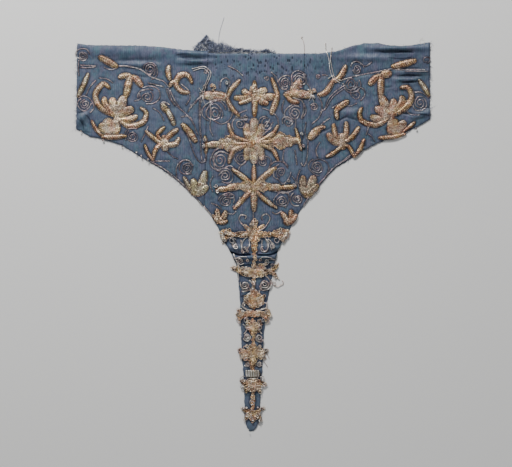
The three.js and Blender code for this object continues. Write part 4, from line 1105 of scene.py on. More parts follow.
def worked_leaf(work, row, base_pale, rise, wear, finish=0):
    """A padded leaf closed all round. Its arch across is one less a power of the place across, and
    its threads are ridges: slanted on a narrow leaf, in a chevron about a vein on a wider one, and
    in staggered bricks on a broad one."""
    width = row["width"]
    broad = width >= BROAD_WIDTH
    line, tangent, along, half, swell = leaf_outline(row, 0.3 if broad else 0.26)
    line, tangent, along, half, swell = (part[1:-1] for part in (line, tangent, along, half, swell))
    half = np.maximum(half - LEAF_INSET, 0.1)
    along = along[:, None]
    swell = swell[:, None]
    sides = int(np.clip(round(width / 0.5), 10, 30))
    across = np.cos(np.linspace(0, np.pi, sides))[None]
    reach = half[:, None] * across
    offset = RNG.integers(CHANCE.size)
    if broad:
        ridge, tone = brick_threads(along, reach, offset)
    else:
        ridge, tone = slanted_threads(along, reach, offset, width >= NARROW_WIDTH)
    depth = BRICK_DEPTH if broad else THREAD_DEPTH
    reach = reach + np.sign(across) * TOOTH * (tone - 0.5) * swell * np.abs(across) ** 3
    spots = line[:, None] + leftwards(tangent)[:, None] * reach[..., None]
    arch = np.clip(1 - np.abs(across) ** 2.8, 0, None) ** 0.55
    dome = rise * (0.5 + 0.5 * swell) * arch
    height = silk_top(spots) - 0.15 + dome * (1 - depth + depth * ridge + 0.12 * (tone - 0.5))
    share = along / along[-1]
    first, last = RNG.uniform(0, 1, 2)
    tone = 0.75 * tone + 0.25 * (first * (1 - share) + last * share)
    lay = np.stack([np.broadcast_to(along, reach.shape), reach, tone], -1)
    # Painted shade: darkest in the grooves between threads and along the leaf's very sides
    groove = np.maximum(1 - ridge, 0.8 * np.abs(across) ** 12)
    tint = np.stack([groove, np.full_like(reach, base_pale), np.full_like(reach, wear)], -1)
    work.add(at_height(spots, height), ring_faces(1, len(line), sides), lay.reshape(-1, 3),
             tint.reshape(-1, 3), finish)


def edge_cord(work, row, pale):
    """A thin cord round a leaf, just outside its outline; its near-black colour is partly tarnish and
    partly painted shade at the leaf's edge.
    """
    line, tangent, _, half, _ = leaf_outline(row, OUTLINE_STEP)
    left = leftwards(tangent) * (half + 0.12)[:, None]
    loop = np.vstack([line + left, (line - left)[::-1][1:], (line + left)[:1]])
    lay_thread(work, on_silk(evenly(loop, 0.8)[0], 0.3), 0.27, sides=5, pale=pale, finish=1)


# Points round a ring of coiled thread
RING_STEPS = 11


def purl_rings(work, centres, reach, lift, thick=0.2):
    """Small rings of coiled thread: each is a circle a little over once round, drawn in towards its
    end, and tipped to one side."""
    count = len(centres)
    angle = np.linspace(0, 2.2 * np.pi, RING_STEPS)[None] + RNG.uniform(0, 6, (count, 1))
    reach = np.broadcast_to(reach, count)[:, None] * np.linspace(1, 0.75, RING_STEPS)
    flat = centres[:, None] + reach[..., None] * np.stack([np.cos(angle), np.sin(angle)], -1)
    tip = 0.45 * reach * np.cos(angle - RNG.uniform(0, 6, (count, 1)))
    height = ground_at(centres)[:, None] + np.broadcast_to(lift, count)[:, None] + tip
    lay, tint = np.zeros((2, count, RING_STEPS, 4, 3))
    lay[..., 2] = RNG.random(count)[:, None, None]
    tint[..., 1] = RNG.uniform(0.1, 0.85, count)[:, None, None]
    work.add(tubes(at_height(flat, height), thick, 4), ring_faces(count, RING_STEPS, 4),
             lay.reshape(-1, 3), tint.reshape(-1, 3), 2)


def purl_frill(work, row, spacing=1.7):
    """Rings standing all round a leaf's outline."""
    line, tangent, _, half, _ = leaf_outline(row, 0.5)
    left = leftwards(tangent) * (half + 0.25)[:, None]
    centres, _ = evenly(np.vstack([line + left, (line - left)[::-1]]), spacing)
    centres = centres + RNG.normal(0, 0.25, centres.shape)
    purl_rings(work, centres, RNG.uniform(0.55, 1.0, len(centres)), 0.75)


def purl_bed(work, row, spacing=2.3):
    """Rings heaped all over a leaf, in rows along it with a random shift."""
    line, tangent, _, half, _ = leaf_outline(row, spacing)
    lanes = np.maximum(1, np.round(2 * half / spacing)).astype(int)
    places = []
    for spot, left, reach, count in zip(line, leftwards(tangent), half, lanes):
        across = (np.arange(count) + 0.5) / count * 2 - 1
        places.append(spot + left * (across * max(reach - 0.5, 0.3))[:, None])
    centres = np.vstack(places)
    centres = centres + RNG.normal(0, 0.4, centres.shape)
    sizes = RNG.uniform(0.95, 1.6, len(centres))
    purl_rings(work, centres, sizes, RNG.uniform(0.75, 1.3, len(centres)), 0.3)


def long_loops(work, centre, reach, first, last, count, width):
    """A fan of narrow loops: along its ray each goes out and back as half a sine wave, and across
    the ray as a whole one."""
    share = np.linspace(0.03, 0.97, 12)
    angles = np.radians(np.linspace(first, last, count) + RNG.normal(0, 4, count))
    for angle in angles:
        ray = np.array(reach) * [np.cos(angle), np.sin(angle)] * RNG.uniform(0.82, 1.05)
        side = leftwards(ray) / np.linalg.norm(ray) * width / 2 * RNG.uniform(0.7, 1.1)
        flat = chart(centre) + ray * (0.12 + 0.88 * np.sin(np.pi * share)[:, None] ** 0.8)
        flat = flat + side * np.sin(2 * np.pi * share)[:, None]
        height = ground_at(flat) + 1.0 + 0.55 * np.sin(np.pi * share) + RNG.uniform(0, 0.3)
        lay_thread(work, at_height(flat, height), 0.34, 4, RNG.uniform(0.4, 1), 0, 2)


def ring_chain(work, first, last, spread):
    """Rings strung down the tail between two motifs."""
    length = np.linalg.norm(np.subtract(last, first))
    share = np.linspace(0, 1, max(3, int(length / 0.8)))[:, None]
    count = len(share)
    centres = chart(first) * (1 - share) + chart(last) * share
    sideways = RNG.uniform(-spread, spread, count)
    centres = centres + np.stack([sideways, RNG.normal(0, 0.3, count)], -1)
    reach = RNG.uniform(0.9, 1.4, count)
    purl_rings(work, centres, reach, RNG.uniform(0.5, 0.9, count), 0.34)


def knots(work, centre, spread, count):
    """A close cluster of rings heaped on a motif, thinning out from its middle as a bell."""
    centres = chart(centre) + RNG.normal(0, 0.5, (count, 2)) * np.array(spread)
    away = np.linalg.norm((centres - chart(centre)) / np.array(spread), axis=1)
    purl_rings(work, centres, RNG.uniform(0.85, 1.4, count), 0.85 + 0.7 * np.exp(-away ** 2), 0.29)


def ladder_bars(work):
    """The ladder's upright threads, side by side over its padding."""
    for across in LADDER_BARS:
        upright = evenly(chart([(across, LADDER_TOP), (across + 0.2, LADDER_FOOT)]), 0.8)[0]
        lay_thread(work, on_silk(upright, 1.35), 1.05, 5, 1.0, 0, 3)


def motif_piece(motif, thread, rows):
    """All the leaves of one motif, with their cords or rings, standing for the solid."""
    work = Work()
    for row in rows:
        broadness = np.clip((row["width"] - 6.5) / 3, 0, 1)
        pale = 1.0 if thread == SILVER_THREAD else 0.62 * broadness
        pale = np.clip(pale + RNG.normal(0, 0.12), 0, 1)
        tail = row["through"][0][1] > TAIL_TOP and motif != "ladder"
        rise = BROAD_RISE if row["width"] >= BROAD_WIDTH else LEAF_RISE
        rise = TAIL_RISE if tail else rise
        wear = np.clip(RNG.uniform(0, 0.45) + 0.45 * motif.endswith("right"), 0, 1)
        heaped = tail and not row["bare"]
        worked_leaf(work, row, pale, rise, wear, int(heaped))
        if not tail:
            edge_cord(work, row, 0.5)
        if heaped:
            purl_bed(work, row)
        elif row["lobes"]:
            purl_frill(work, row)
    if motif in KNOTS:
        knots(work, *KNOTS[motif])
    for owner, *fan in FANS:
        if owner == motif:
            long_loops(work, *fan)
    for owner, *chain in CHAINS:
        if owner == motif:
            ring_chain(work, *chain)
    if motif == "ladder":
        ladder_bars(work)
    metal = GILT if thread == GOLD_THREAD else SILVERED
    piece = work.finish(f"worked_{motif}", [metal, EDGE_CORD, PURL] + [LOOSE] * (motif == "ladder"))
    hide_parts(motif)


def node(tree, kind, inputs=None, **settings):
    """A shader node with its settings, and its inputs given by number or name as values or links."""
    made = tree.nodes.new(kind)
    for name, value in settings.items():
        setattr(made, name, value)
    for name, value in (inputs or {}).items():
        if isinstance(value, bpy.types.NodeSocket):
            tree.links.new(value, made.inputs[name])
        else:
            made.inputs[name].default_value = value
    return made


def noise(tree, vector, size, stretch=(1, 1, 1), detail=2.0):
    """Noise of a given grain in millimetres, stretched along the axes."""
    scale = tuple(1 / (MM * part) for part in stretch)
    mapped = node(tree, "ShaderNodeMapping", {"Vector": vector, "Scale": scale})
    given = {"Vector": mapped.outputs[0], "Scale": 1 / size, "Detail": detail}
    return node(tree, "ShaderNodeTexNoise", given).outputs[0]


def blotches(tree, place, size, stretch, detail, low, high, most=1.0):
    """Noise as a mask: nothing under one limit, and the most of it over the other."""
    return spread(tree, noise(tree, place, size, stretch, detail), low, high, 0.0, most)


def spread(tree, value, low, high, to_low=0.0, to_high=1.0):
    """A value between two limits mapped to a range, and held inside it."""
    made = node(tree, "ShaderNodeMapRange", {0: value, 1: low, 2: high, 3: to_low, 4: to_high})
    return made.outputs[0]


def blend_colours(tree, share, first, second, kind="MIX"):
    """Two colours blended by a share of the second."""
    made = node(tree, "ShaderNodeMix", {0: share, 6: first, 7: second}, data_type="RGBA", blend_type=kind)
    return made.outputs[2]


def sum_of(tree, first, second, operation="ADD"):
    """The sum of two values, or what another operation makes of them."""
    return node(tree, "ShaderNodeMath", {0: first, 1: second}, operation=operation).outputs[0]


def product(tree, first, second):
    """Two values multiplied."""
    return sum_of(tree, first, second, "MULTIPLY")


def sine(tree, turn):
    """The sine of an angle."""
    return node(tree, "ShaderNodeMath", {0: turn}, operation="SINE").outputs[0]


def parts_of(tree, attribute):
    """The three parts of a piece's own attribute."""
    read = node(tree, "ShaderNodeAttribute", attribute_name=attribute)
    return node(tree, "ShaderNodeSeparateXYZ", {0: read.outputs["Vector"]}).outputs


def new_group(name, inputs, outputs):
    """An empty node group with sockets of the given names and kinds."""
    tree = bpy.data.node_groups.new(name, "ShaderNodeTree")
    for title, kind in inputs:
        tree.interface.new_socket(title, in_out="INPUT", socket_type=f"NodeSocket{kind}")
    for title, kind in outputs:
        tree.interface.new_socket(title, in_out="OUTPUT", socket_type=f"NodeSocket{kind}")
    return tree, node(tree, "NodeGroupInput"), node(tree, "NodeGroupOutput")


def tarnish_group():
    """Colour of metal thread: each thread has its own tone, fine painted glints and broad patches of
    tarnish lie over it, and painted shade darkens the grooves between threads."""
    tree, given, result = new_group(
        "tarnished_thread",
        [("Place", "Vector"), ("Tone", "Float"), ("Groove", "Float"),
         ("Dark", "Color"), ("Body", "Color"), ("Bright", "Color")],
        [("Color", "Color"), ("Roughness", "Float"), ("Height", "Float")])
    place = given.outputs["Place"]
    # Painted glints: fine noise that brightens the threads and lifts the painted groove shade
    painted_glint = blotches(tree, place, 0.85, (1, 1, 1), 2.0, 0.41, 0.59)
    patches = blotches(tree, place, 5.0, (1, 1, 1), 2.0, 0.36, 0.62, 0.35)
    tone = sum_of(tree, given.outputs["Tone"], product(tree, painted_glint, 0.5))
    tone = spread(tree, sum_of(tree, tone, patches), 0.40, 1.22)
    colour = blend_colours(tree, tone, given.outputs["Body"], given.outputs["Bright"])
    # Painted shade in the grooves between threads, with the tarnish patches darkening too
    groove_shade_and_tarnish = sum_of(tree, given.outputs["Groove"], product(tree, painted_glint, 0.45), "SUBTRACT")
    groove_shade_and_tarnish = spread(tree, groove_shade_and_tarnish, 0.12, 0.72, 0.0, 0.92)
    groove_shade_and_tarnish = sum_of(tree, groove_shade_and_tarnish, spread(tree, patches, 0.0, 0.35, 0.36, 0.0), "MAXIMUM")
    tree.links.new(blend_colours(tree, groove_shade_and_tarnish, colour, given.outputs["Dark"]), result.inputs["Color"])
    tree.links.new(spread(tree, tone, 0.0, 1.0, 0.5, 0.3), result.inputs["Roughness"])
    tree.links.new(noise(tree, place, 0.55), result.inputs["Height"])
    return tree


# Width of one rib of the silk
RIB = 0.95


def ribs_group():
    """Ribbed silk: fine upright ribs as height, and long upright streaks and bands as masks."""
    tree, given, result = new_group(
        "upright_ribs", [("Place", "Vector")],
        [("Height", "Float"), ("Streaks", "Float"), ("Bands", "Float")])
    place = given.outputs["Place"]
    across = node(tree, "ShaderNodeSeparateXYZ", {0: place}).outputs[0]
    wander = product(tree, noise(tree, place, 9.0, (1, 3, 1), 1.0), 9.0)
    turn = sum_of(tree, product(tree, across, 2 * np.pi / (RIB * MM)), wander)
    bands = spread(tree, sine(tree, product(tree, turn, 0.46)), -0.6, 1.0)
    tree.links.new(bands, result.inputs["Bands"])
    threads = product(tree, noise(tree, place, 0.5, (1, 5, 1), 2.0), 1.5)
    tree.links.new(sum_of(tree, sine(tree, turn), threads), result.inputs["Height"])
    tree.links.new(blotches(tree, place, 1.5, (1, 9, 1), 3.0, 0.38, 0.62), result.inputs["Streaks"])
    return tree


def principled(name, **values):
    """A material with its own shader, whose plain numbers are set on the shader's sockets."""
    material = bpy.data.materials.new(name)
    material.use_nodes = True
    shader = material.node_tree.nodes["Principled BSDF"]
    for socket, value in values.items():
        shader.inputs[socket.replace("_", " ")].default_value = value
    place = node(material.node_tree, "ShaderNodeTexCoord").outputs["Object"]
    return material, material.node_tree, shader, place


def bump(tree, shader, height, distance):
    """A height in the shader's normal, as deep as a distance in millimetres."""
    made = node(tree, "ShaderNodeBump", {"Height": height, "Distance": distance * MM, "Strength": 1.0})
    tree.links.new(made.outputs[0], shader.inputs["Normal"])


# What metal thread is multiplied by: in its rosy patches, its yellow ones, and where it is worn
ROSY_TINT = (1.0, 0.80, 0.78, 1)
YELLOW_TINT = (1.0, 0.98, 0.76, 1)
WORN_TINT = (0.80, 0.68, 0.66, 1)


def metal_thread(name, dark, body, bright, pale_body, pale_bright, rosy_tint=ROSY_TINT,
                 yellow_tint=YELLOW_TINT):
    """Metal-wrapped thread: its gilt tones turn to pale ones with the tint's second part, and rosy
    and yellow patches lie over both."""
    material, tree, shader, place = principled(name, Metallic=0.75)
    _, _, tone = parts_of(tree, "lay")[:3]
    groove, pale, wear = parts_of(tree, "tint")[:3]
    wander = spread(tree, noise(tree, place, 3.0), 0.35, 0.65, -0.4, 0.4)
    pale = spread(tree, sum_of(tree, pale, wander), 0.0, 1.0)
    tarnished = node(tree, "ShaderNodeGroup", node_tree=TARNISH)
    for socket, value in (("Place", place), ("Tone", tone), ("Groove", groove),
                          ("Body", blend_colours(tree, pale, (*body, 1), (*pale_body, 1))),
                          ("Bright", blend_colours(tree, pale, (*bright, 1), (*pale_bright, 1)))):
        tree.links.new(value, tarnished.inputs[socket])
    tarnished.inputs["Dark"].default_value = (*dark, 1)
    rosy = blotches(tree, place, 4.5, (1, 1, 1), 1.0, 0.5, 0.64)
    yellow = blotches(tree, place, 7.0, (1, 1, 1), 1.0, 0.5, 0.62)
    colour = blend_colours(tree, rosy, tarnished.outputs["Color"], rosy_tint, "MULTIPLY")
    colour = blend_colours(tree, yellow, colour, yellow_tint, "MULTIPLY")
    colour = blend_colours(tree, wear, colour, WORN_TINT, "MULTIPLY")
    tree.links.new(colour, shader.inputs["Base Color"])
    tree.links.new(tarnished.outputs["Roughness"], shader.inputs["Roughness"])
    bump(tree, shader, tarnished.outputs["Height"], 0.35)
    return material


# Colours of the silk, from its ground to what lies over it
BLUE_GROUND = (0.054, 0.080, 0.146)
TEAL = (0.048, 0.122, 0.160)
MAUVE = (0.110, 0.092, 0.165)
PALE_STREAK = (0.110, 0.140, 0.195)
DARK_CLOUD = (0.020, 0.034, 0.078)
DARK_BAND = (0.020, 0.036, 0.080)
DARK_GRAIN = (0.022, 0.036, 0.075)
DUST = (0.17, 0.150, 0.175)
SOOT = (0.016, 0.022, 0.045)
BLEACHED = (0.11, 0.14, 0.20)
# Painted shade beside the work, in crease troughs, at darker blots and towards the raw edges
SHADED = (0.010, 0.018, 0.042)
PRICKED = (0.008, 0.015, 0.036)
# Painted shade along the folds
PAINTED_FOLD_SHADE = (0.002, 0.004, 0.010)


def silk_cloth():
    """Faded blue silk: upright ribs and streaks, teal and mauve patches, painted shade round the work and
    in creases, and near-black painted shade along the folds."""
    material, tree, shader, place = principled("faded_blue_silk", Sheen_Weight=0.1, Sheen_Roughness=0.4)
    ribs = node(tree, "ShaderNodeGroup", {"Place": place}, node_tree=RIBS)
    streaks = ribs.outputs["Streaks"]
    shaded, light, pricked = parts_of(tree, "tint")[:3]
    worn, fold_shade = parts_of(tree, "lay")[:2]
    bands = product(tree, ribs.outputs["Bands"], noise(tree, place, 7.0, (1, 2, 1)))
    dust = blotches(tree, place, 1.2, (1, 3, 1), 2.0, 0.5, 0.64, 0.34)
    soot = blotches(tree, place, 1.5, (1.2, 1.6, 1), 2.0, 0.54, 0.66, 0.5)
    speckle = blotches(tree, place, 1.3, (1, 2.2, 1), 2.0, 0.35, 0.65)
    dark = product(tree, shaded, spread(tree, speckle, 0.0, 1.0, 0.45, 1.0))
    upright = node(tree, "ShaderNodeMapping", {"Vector": place, "Scale": (1, 0.5, 1)}).outputs[0]
    holes = node(tree, "ShaderNodeTexVoronoi", {"Vector": upright, "Scale": 1 / (2.6 * MM)}).outputs[0]
    holes = product(tree, spread(tree, holes, 0.24, 0.42, 1.0, 0.0), pricked)
    holes = product(tree, holes, spread(tree, noise(tree, place, 6.0), 0.38, 0.5))
    colour = (*BLUE_GROUND, 1)
    for share, over in (
            (blotches(tree, place, 8.0, (1.2, 1.6, 1), 3.0, 0.43, 0.58), TEAL),
            (blotches(tree, place, 6.0, (1, 1.8, 1), 3.0, 0.5, 0.64, 0.8), MAUVE),
            (spread(tree, streaks, 0.0, 1.0, 0.0, 0.62), PALE_STREAK),
            (blotches(tree, place, 4.0, (1, 1.8, 1), 4.0, 0.5, 0.68, 0.55), DARK_CLOUD),
            (spread(tree, bands, 0.1, 0.6, 0.0, 0.5), DARK_BAND),
            (blotches(tree, place, 1.6, (1, 2.5, 1), 2.0, 0.5, 0.62, 0.4), DARK_GRAIN),
            (product(tree, dust, worn), DUST),
            (product(tree, soot, worn), SOOT),
            (light, BLEACHED),
            (spread(tree, dark, 0.05, 0.85, 0.0, 0.86), SHADED),
            (holes, PRICKED),
            (spread(tree, fold_shade, 0.25, 0.7, 0.0, 0.97), PAINTED_FOLD_SHADE)):
        colour = blend_colours(tree, share, colour, (*over, 1))
    tree.links.new(colour, shader.inputs["Base Color"])
    # Metallic rises along the dark folds so that their near-black colour also holds back the sheen: painted
    # fold shade
    tree.links.new(spread(tree, fold_shade, 0.2, 0.6), shader.inputs["Metallic"])
    tree.links.new(spread(tree, streaks, 0.0, 1.0, 0.62, 0.45), shader.inputs["Roughness"])
    height = sum_of(tree, ribs.outputs["Height"], product(tree, holes, 4.0), "SUBTRACT")
    bump(tree, shader, height, 0.07)
    return material


# Faded tone of loose silk
LAVENDER = (0.46, 0.46, 0.58)


def fibre_silk(name, dark, light):
    """Loose silk fibres, each with its own tone, faded to lavender in patches."""
    material, tree, shader, place = principled(name, Roughness=0.7, Sheen_Weight=0.2)
    _, _, tone = parts_of(tree, "lay")[:3]
    mottled = product(tree, tone, noise(tree, place, 1.2))
    colour = blend_colours(tree, spread(tree, mottled, 0.05, 0.6), (*dark, 1), (*light, 1))
    faded = blotches(tree, place, 5.0, (1, 1, 1), 1.0, 0.52, 0.62, 0.6)
    colour = blend_colours(tree, product(tree, faded, tone), colour, (*LAVENDER, 1))
    tree.links.new(colour, shader.inputs["Base Color"])
    return material


TARNISH = tarnish_group()
RIBS = ribs_group()
GILT = metal_thread("gilt_thread", (0.018, 0.012, 0.016), (0.50, 0.26, 0.155), (1.0, 0.785, 0.515),
                    (0.54, 0.385, 0.285), (1.0, 0.90, 0.73))
SILVERED = metal_thread("silvered_thread", (0.026, 0.022, 0.024), (0.29, 0.205, 0.125), (1.0, 0.82, 0.545),
                        (0.29, 0.228, 0.16), (1.0, 0.925, 0.68))
# The edge cord's near-black colours are partly painted shade at the leaves' edges
EDGE_CORD = metal_thread("edge_cord", (0.010, 0.009, 0.012), (0.04, 0.030, 0.030), (0.32, 0.23, 0.18),
                         (0.04, 0.034, 0.034), (0.30, 0.24, 0.20))
PURL = metal_thread("purl_thread", (0.020, 0.014, 0.016), (0.46, 0.235, 0.130), (1.0, 0.74, 0.45),
                    (0.54, 0.37, 0.27), (1.0, 0.86, 0.68), (1.0, 0.80, 0.74, 1), (1.0, 0.97, 0.80, 1))
COUCHED = metal_thread("couched_thread", (0.016, 0.015, 0.026), (0.12, 0.10, 0.12), (0.40, 0.34, 0.35),
                       (0.42, 0.34, 0.30), (1.0, 0.90, 0.80), (1.0, 0.84, 0.88, 1), (0.86, 0.95, 1.0, 1))
LOOSE = metal_thread("loose_thread", (0.10, 0.09, 0.08), (0.55, 0.48, 0.42), (1.0, 0.94, 0.86),
                     (0.66, 0.60, 0.54), (1.0, 0.97, 0.92), (1.0, 0.92, 0.92, 1), (1.0, 1.0, 0.94, 1))
SILK = silk_cloth()
STITCH_SILK = fibre_silk("stitch_silk", (0.10, 0.10, 0.14), (0.42, 0.42, 0.44))
FIBRES = fibre_silk("frayed_silk_fibres", (0.022, 0.032, 0.075), (0.26, 0.30, 0.42))

# The silk's mesh: the spacing of its points along a piece, the steps across a wing and across the
# centre piece, and how many upper steps make a lower one
SILK_STEP = 1.0
WING_COLUMNS = 120
CENTRE_COLUMNS = 84
UNDER_STRIDE = 3

# The silk's edges: how far they roll down, over what width, how ragged they are and how far in, and
# the thinnest that the wall gets
EDGE_DROP = 0.55
EDGE_ROLL = 0.9
RAGGED = 0.16
RAGGED_REACH = 0.8
THINNEST = 0.35


def edge_of(sections, end):
    """One edge of a piece, or the other: the first or second place of each of its sections."""
    return chart([section[end] for section in sections])


def paired_edges(sections, step):
    """The two edges of a piece, with the same number of points, spaced by their middle line."""
    edges = edge_of(sections, 0), edge_of(sections, 1)
    length = length_along((edges[0] + edges[1]) / 2)
    at = np.linspace(0, length[-1], int(round(length[-1] / step)) + 1)
    return [np.stack([np.interp(at, length, axis) for axis in edge.T], -1) for edge in edges]


def sheet_faces(upper, lower):
    """Faces of a sheet whose upper and lower grids are numbered one after the other: both grids,
    the two long sides, and the two ends, where the upper points are closer."""
    number = np.arange(upper.shape[0] * upper.shape[1]).reshape(upper.shape[:2])
    under = number.size + np.arange(lower.shape[0] * lower.shape[1]).reshape(lower.shape[:2])
    quads = [np.stack([number[:-1, :-1], number[1:, :-1], number[1:, 1:], number[:-1, 1:]], -1),
             np.stack([under[:-1, :-1], under[:-1, 1:], under[1:, 1:], under[1:, :-1]], -1),
             np.stack([number[1:, 0], number[:-1, 0], under[:-1, 0], under[1:, 0]], -1),
             np.stack([number[:-1, -1], number[1:, -1], under[1:, -1], under[:-1, -1]], -1)]
    steps = np.arange(under.shape[1] - 1)[:, None] * UNDER_STRIDE + np.arange(UNDER_STRIDE + 1)
    left, right = under[:, :-1, None], under[:, 1:, None]
    quads.append(np.concatenate([number[0][steps], right[0], left[0]], -1))
    quads.append(np.concatenate([number[-1][steps][:, ::-1], left[-1], right[-1]], -1))
    return [quad.reshape(-1, quad.shape[-1]) for quad in quads]


def on_both_faces(parts):
    """Three values at each point of the upper grid, then at those that the lower one keeps."""
    values = np.stack(parts, -1)
    return np.concatenate([values.reshape(-1, 3), values[:, ::UNDER_STRIDE].reshape(-1, 3)])


def silk_sheet(name, sections, columns, raw, swapped):
    """A wall of silk over the grid between two edges: its upper face rolls down towards every edge as a
    bell of the distance, its underside is the creased floor, and a rim joins them. The edges are swapped
    where their sections run from left to right, so that the faces look outwards. The tint is how much
    painted shade, light and pricking it has, and the lay how worn it is and how much painted fold shade it
    has."""
    low, high = paired_edges(sections, SILK_STEP)
    if swapped:
        low, high = high, low
    share = np.linspace(0, 1, columns + 1)[None, :, None]
    spots = low[:, None] * (1 - share) + high[:, None] * share
    ragged = np.stack([look_up(EDGE_RUMPLE, spots), look_up(EDGE_RUMPLE[::-1], spots)], -1)
    width = np.linalg.norm(high - low, axis=1)[:, None]
    along = length_along((low + high) / 2)[:, None]
    share = share[..., 0]
    near = np.minimum(np.minimum(share, 1 - share) * width, np.minimum(along, along[-1] - along))
    spots = spots + RAGGED * raw(spots)[..., None] * ragged * np.exp(-near / RAGGED_REACH)[..., None]
    floor = underside(spots)
    roll = np.exp(-(near / EDGE_ROLL) ** 2)
    upper = at_height(spots, np.maximum(silk_top(spots) - EDGE_DROP * roll, floor + THINNEST))
    lower = at_height(spots, floor)[:, ::UNDER_STRIDE]
    # Painted shade in the troughs of the small creases
    pressed = np.clip(-1.2 * pressed_in(spots), 0, 0.8)
    raw_edge = 0.4 * raw(spots) * np.exp(-near / 1.1)
    # Painted shade on the silk: beside threads and leaf outlines, in crease troughs, at the darker blots,
    # and towards the raw edges
    shaded = np.clip(1.3 * look_up(WORK_SHADE, spots) + pressed + shaded_and_soiled(spots) + raw_edge, 0, 1)
    worn = np.clip(2.2 * look_up(WORN, spots), 0, 1)
    tint = on_both_faces([shaded, np.clip(lightness(spots), 0, 1), prick_band(spots)])
    lay = on_both_faces([worn, look_up(FOLD_SHADE_FIELD, spots), np.zeros_like(worn)])
    work = Work()
    points = np.concatenate([upper.reshape(-1, 3), lower.reshape(-1, 3)])
    work.add(points, sheet_faces(upper, lower), lay, tint)
    return work.finish(name, [SILK]), np.vstack([low, high[::-1]]), spots


# Light bells on the silk: the middle across and down, and the spread across and down
LIGHT_BELLS = [(272, 140, 36, 50), (142, 112, 60, 40)]


def lightness(spots):
    """How much lighter the silk is: in the plain band along the top of the centre piece, in bells
    round the rosette and on the left wing, and more and more down the tail."""
    across, down = across_and_down(spots)
    middle = fade_between(across, 206, 210) * (1 - fade_between(across, 300, 312))
    light = 0.12 * (1 - fade_between(down, 56, 68)) * middle
    for middle_across, middle_down, wide, high in LIGHT_BELLS:
        far = ((across - middle_across) / wide) ** 2 + ((down - middle_down) / high) ** 2
        light = light + 0.26 * np.exp(-far)
    return light + 0.42 * fade_between(down, 255, 350) + 0.06


def shaded_and_soiled(spots):
    """How dark the silk is at its darker blots, painted shade of folds, creases and the seam, and soiling:
    a bell of the distance round each place.
    """
    across, down = across_and_down(spots)
    dark = 0
    for middle_across, middle_down, size, depth in SHADED_AND_SOILED:
        far = ((across - middle_across) ** 2 + (down - middle_down) ** 2) / size ** 2
        dark = dark + depth * np.exp(-far)
    return dark


def prick_band(spots):
    """Where the plain silk was pricked by old stitches: between the top edge and the first bar."""
    across, down = across_and_down(spots)
    inside = fade_between(down, 53, 58) * (1 - fade_between(down, 74, 84))
    return inside * fade_between(across, 208, 216) * (1 - fade_between(across, 300, 345))


# Bands across that hold the two seams, and how far down the seams run
SEAM_BANDS = [(203, 210), (299, 306)]
SEAM_TOP = 56
SEAM_FOOT = 208


def raw_wing(spots):
    """One on every edge of a wing, and nothing next to its seam."""
    across, _ = across_and_down(spots)
    sewn = [(across > low) & (across < high) for low, high in SEAM_BANDS]
    return np.where(sewn[0] | sewn[1], 0.0, 1.0)


def raw_centre(spots):
    """One below the seams, and at the top edge."""
    _, down = across_and_down(spots)
    return np.where((down > SEAM_TOP) & (down < SEAM_FOOT), 0.0, 1.0)


# Points along a frayed fibre, and the height at which fibres leave the silk's edge
FIBRE_RINGS = 6
FIBRE_START = 0.6


def fibre_fringe(work, edge, outward, density, length, radius):
    """Frayed fibres along a raw edge: each leaves it near a right angle, bends to one side as the
    square of the way along it, and sinks towards the floor."""
    line, along = evenly(edge, 0.5)
    count = max(1, int(along[-1] * density))
    at = RNG.uniform(0, along[-1], count)
    root = np.stack([np.interp(at, along, axis) for axis in line.T], -1)
    direction = np.stack([np.interp(at, along, axis) for axis in tangents(line).T], -1)
    normal = leftwards(direction) * outward
    lean = RNG.normal(0, 0.55, count)[:, None]
    heading = normal * np.cos(lean) + direction * np.sin(lean)
    reach = (RNG.gamma(2.2, length / 2.2, count).clip(0.3, 4 * length))[:, None, None]
    share = np.linspace(0, 1, FIBRE_RINGS)[None]
    bend = RNG.normal(0, 0.5, count)[:, None, None]
    curve = heading[:, None] * share[..., None] + leftwards(heading)[:, None] * bend * share[..., None] ** 2
    flat = root[:, None] - 0.5 * normal[:, None] + reach * curve
    height = FIBRE_START + RNG.normal(0, 0.25, (count, 1)).clip(-0.4, 0.5) * (1 - share)
    height = height * (1 - share ** 0.7) + 0.15 + RNG.uniform(0, 0.5, (count, 1)) * share
    thin = radius * (1 - 0.6 * share) * RNG.uniform(0.6, 1.3, (count, 1))
    lay_fibres(work, at_height(flat, height), thin, RNG.random(count))


# Fibres in a strand for each millimetre of its thickness, and tries at the tangle and its upper end
FIBRES_IN_STRAND = 20
TANGLE_TRIES = 2200
TANGLE_HIGHEST = 36


def shredded_strand(work, points, thick):
    """One strand: a bundle of wavy fibres that spread and end along it."""
    line, tangent, along = smooth_line(chart(points), 0.8)
    count = int(FIBRES_IN_STRAND * thick)
    share = along / along[-1]
    drift = RNG.normal(0, 0.42 * thick, (count, 1)) * (1 - 0.4 * share)
    wave = np.sin(2 * np.pi * (RNG.uniform(0.6, 2.4, (count, 1)) * share + RNG.random((count, 1))))
    drift = drift + 0.45 * share * wave + RNG.normal(0, 0.9, (count, 1)) * share ** 2
    ending = RNG.uniform(0.6, 1.0, (count, 1, 1))
    flat = line[0] + (line - line[0]) * ending + leftwards(tangent) * drift[..., None]
    height = 0.25 + np.abs(RNG.normal(0, 0.35, (count, 1))) + 0.5 * RNG.random((count, 1)) * share
    thin = 0.15 * (1 - 0.6 * share) * RNG.uniform(0.7, 1.5, (count, 1))
    lay_fibres(work, at_height(flat, height), thin, RNG.random(count))


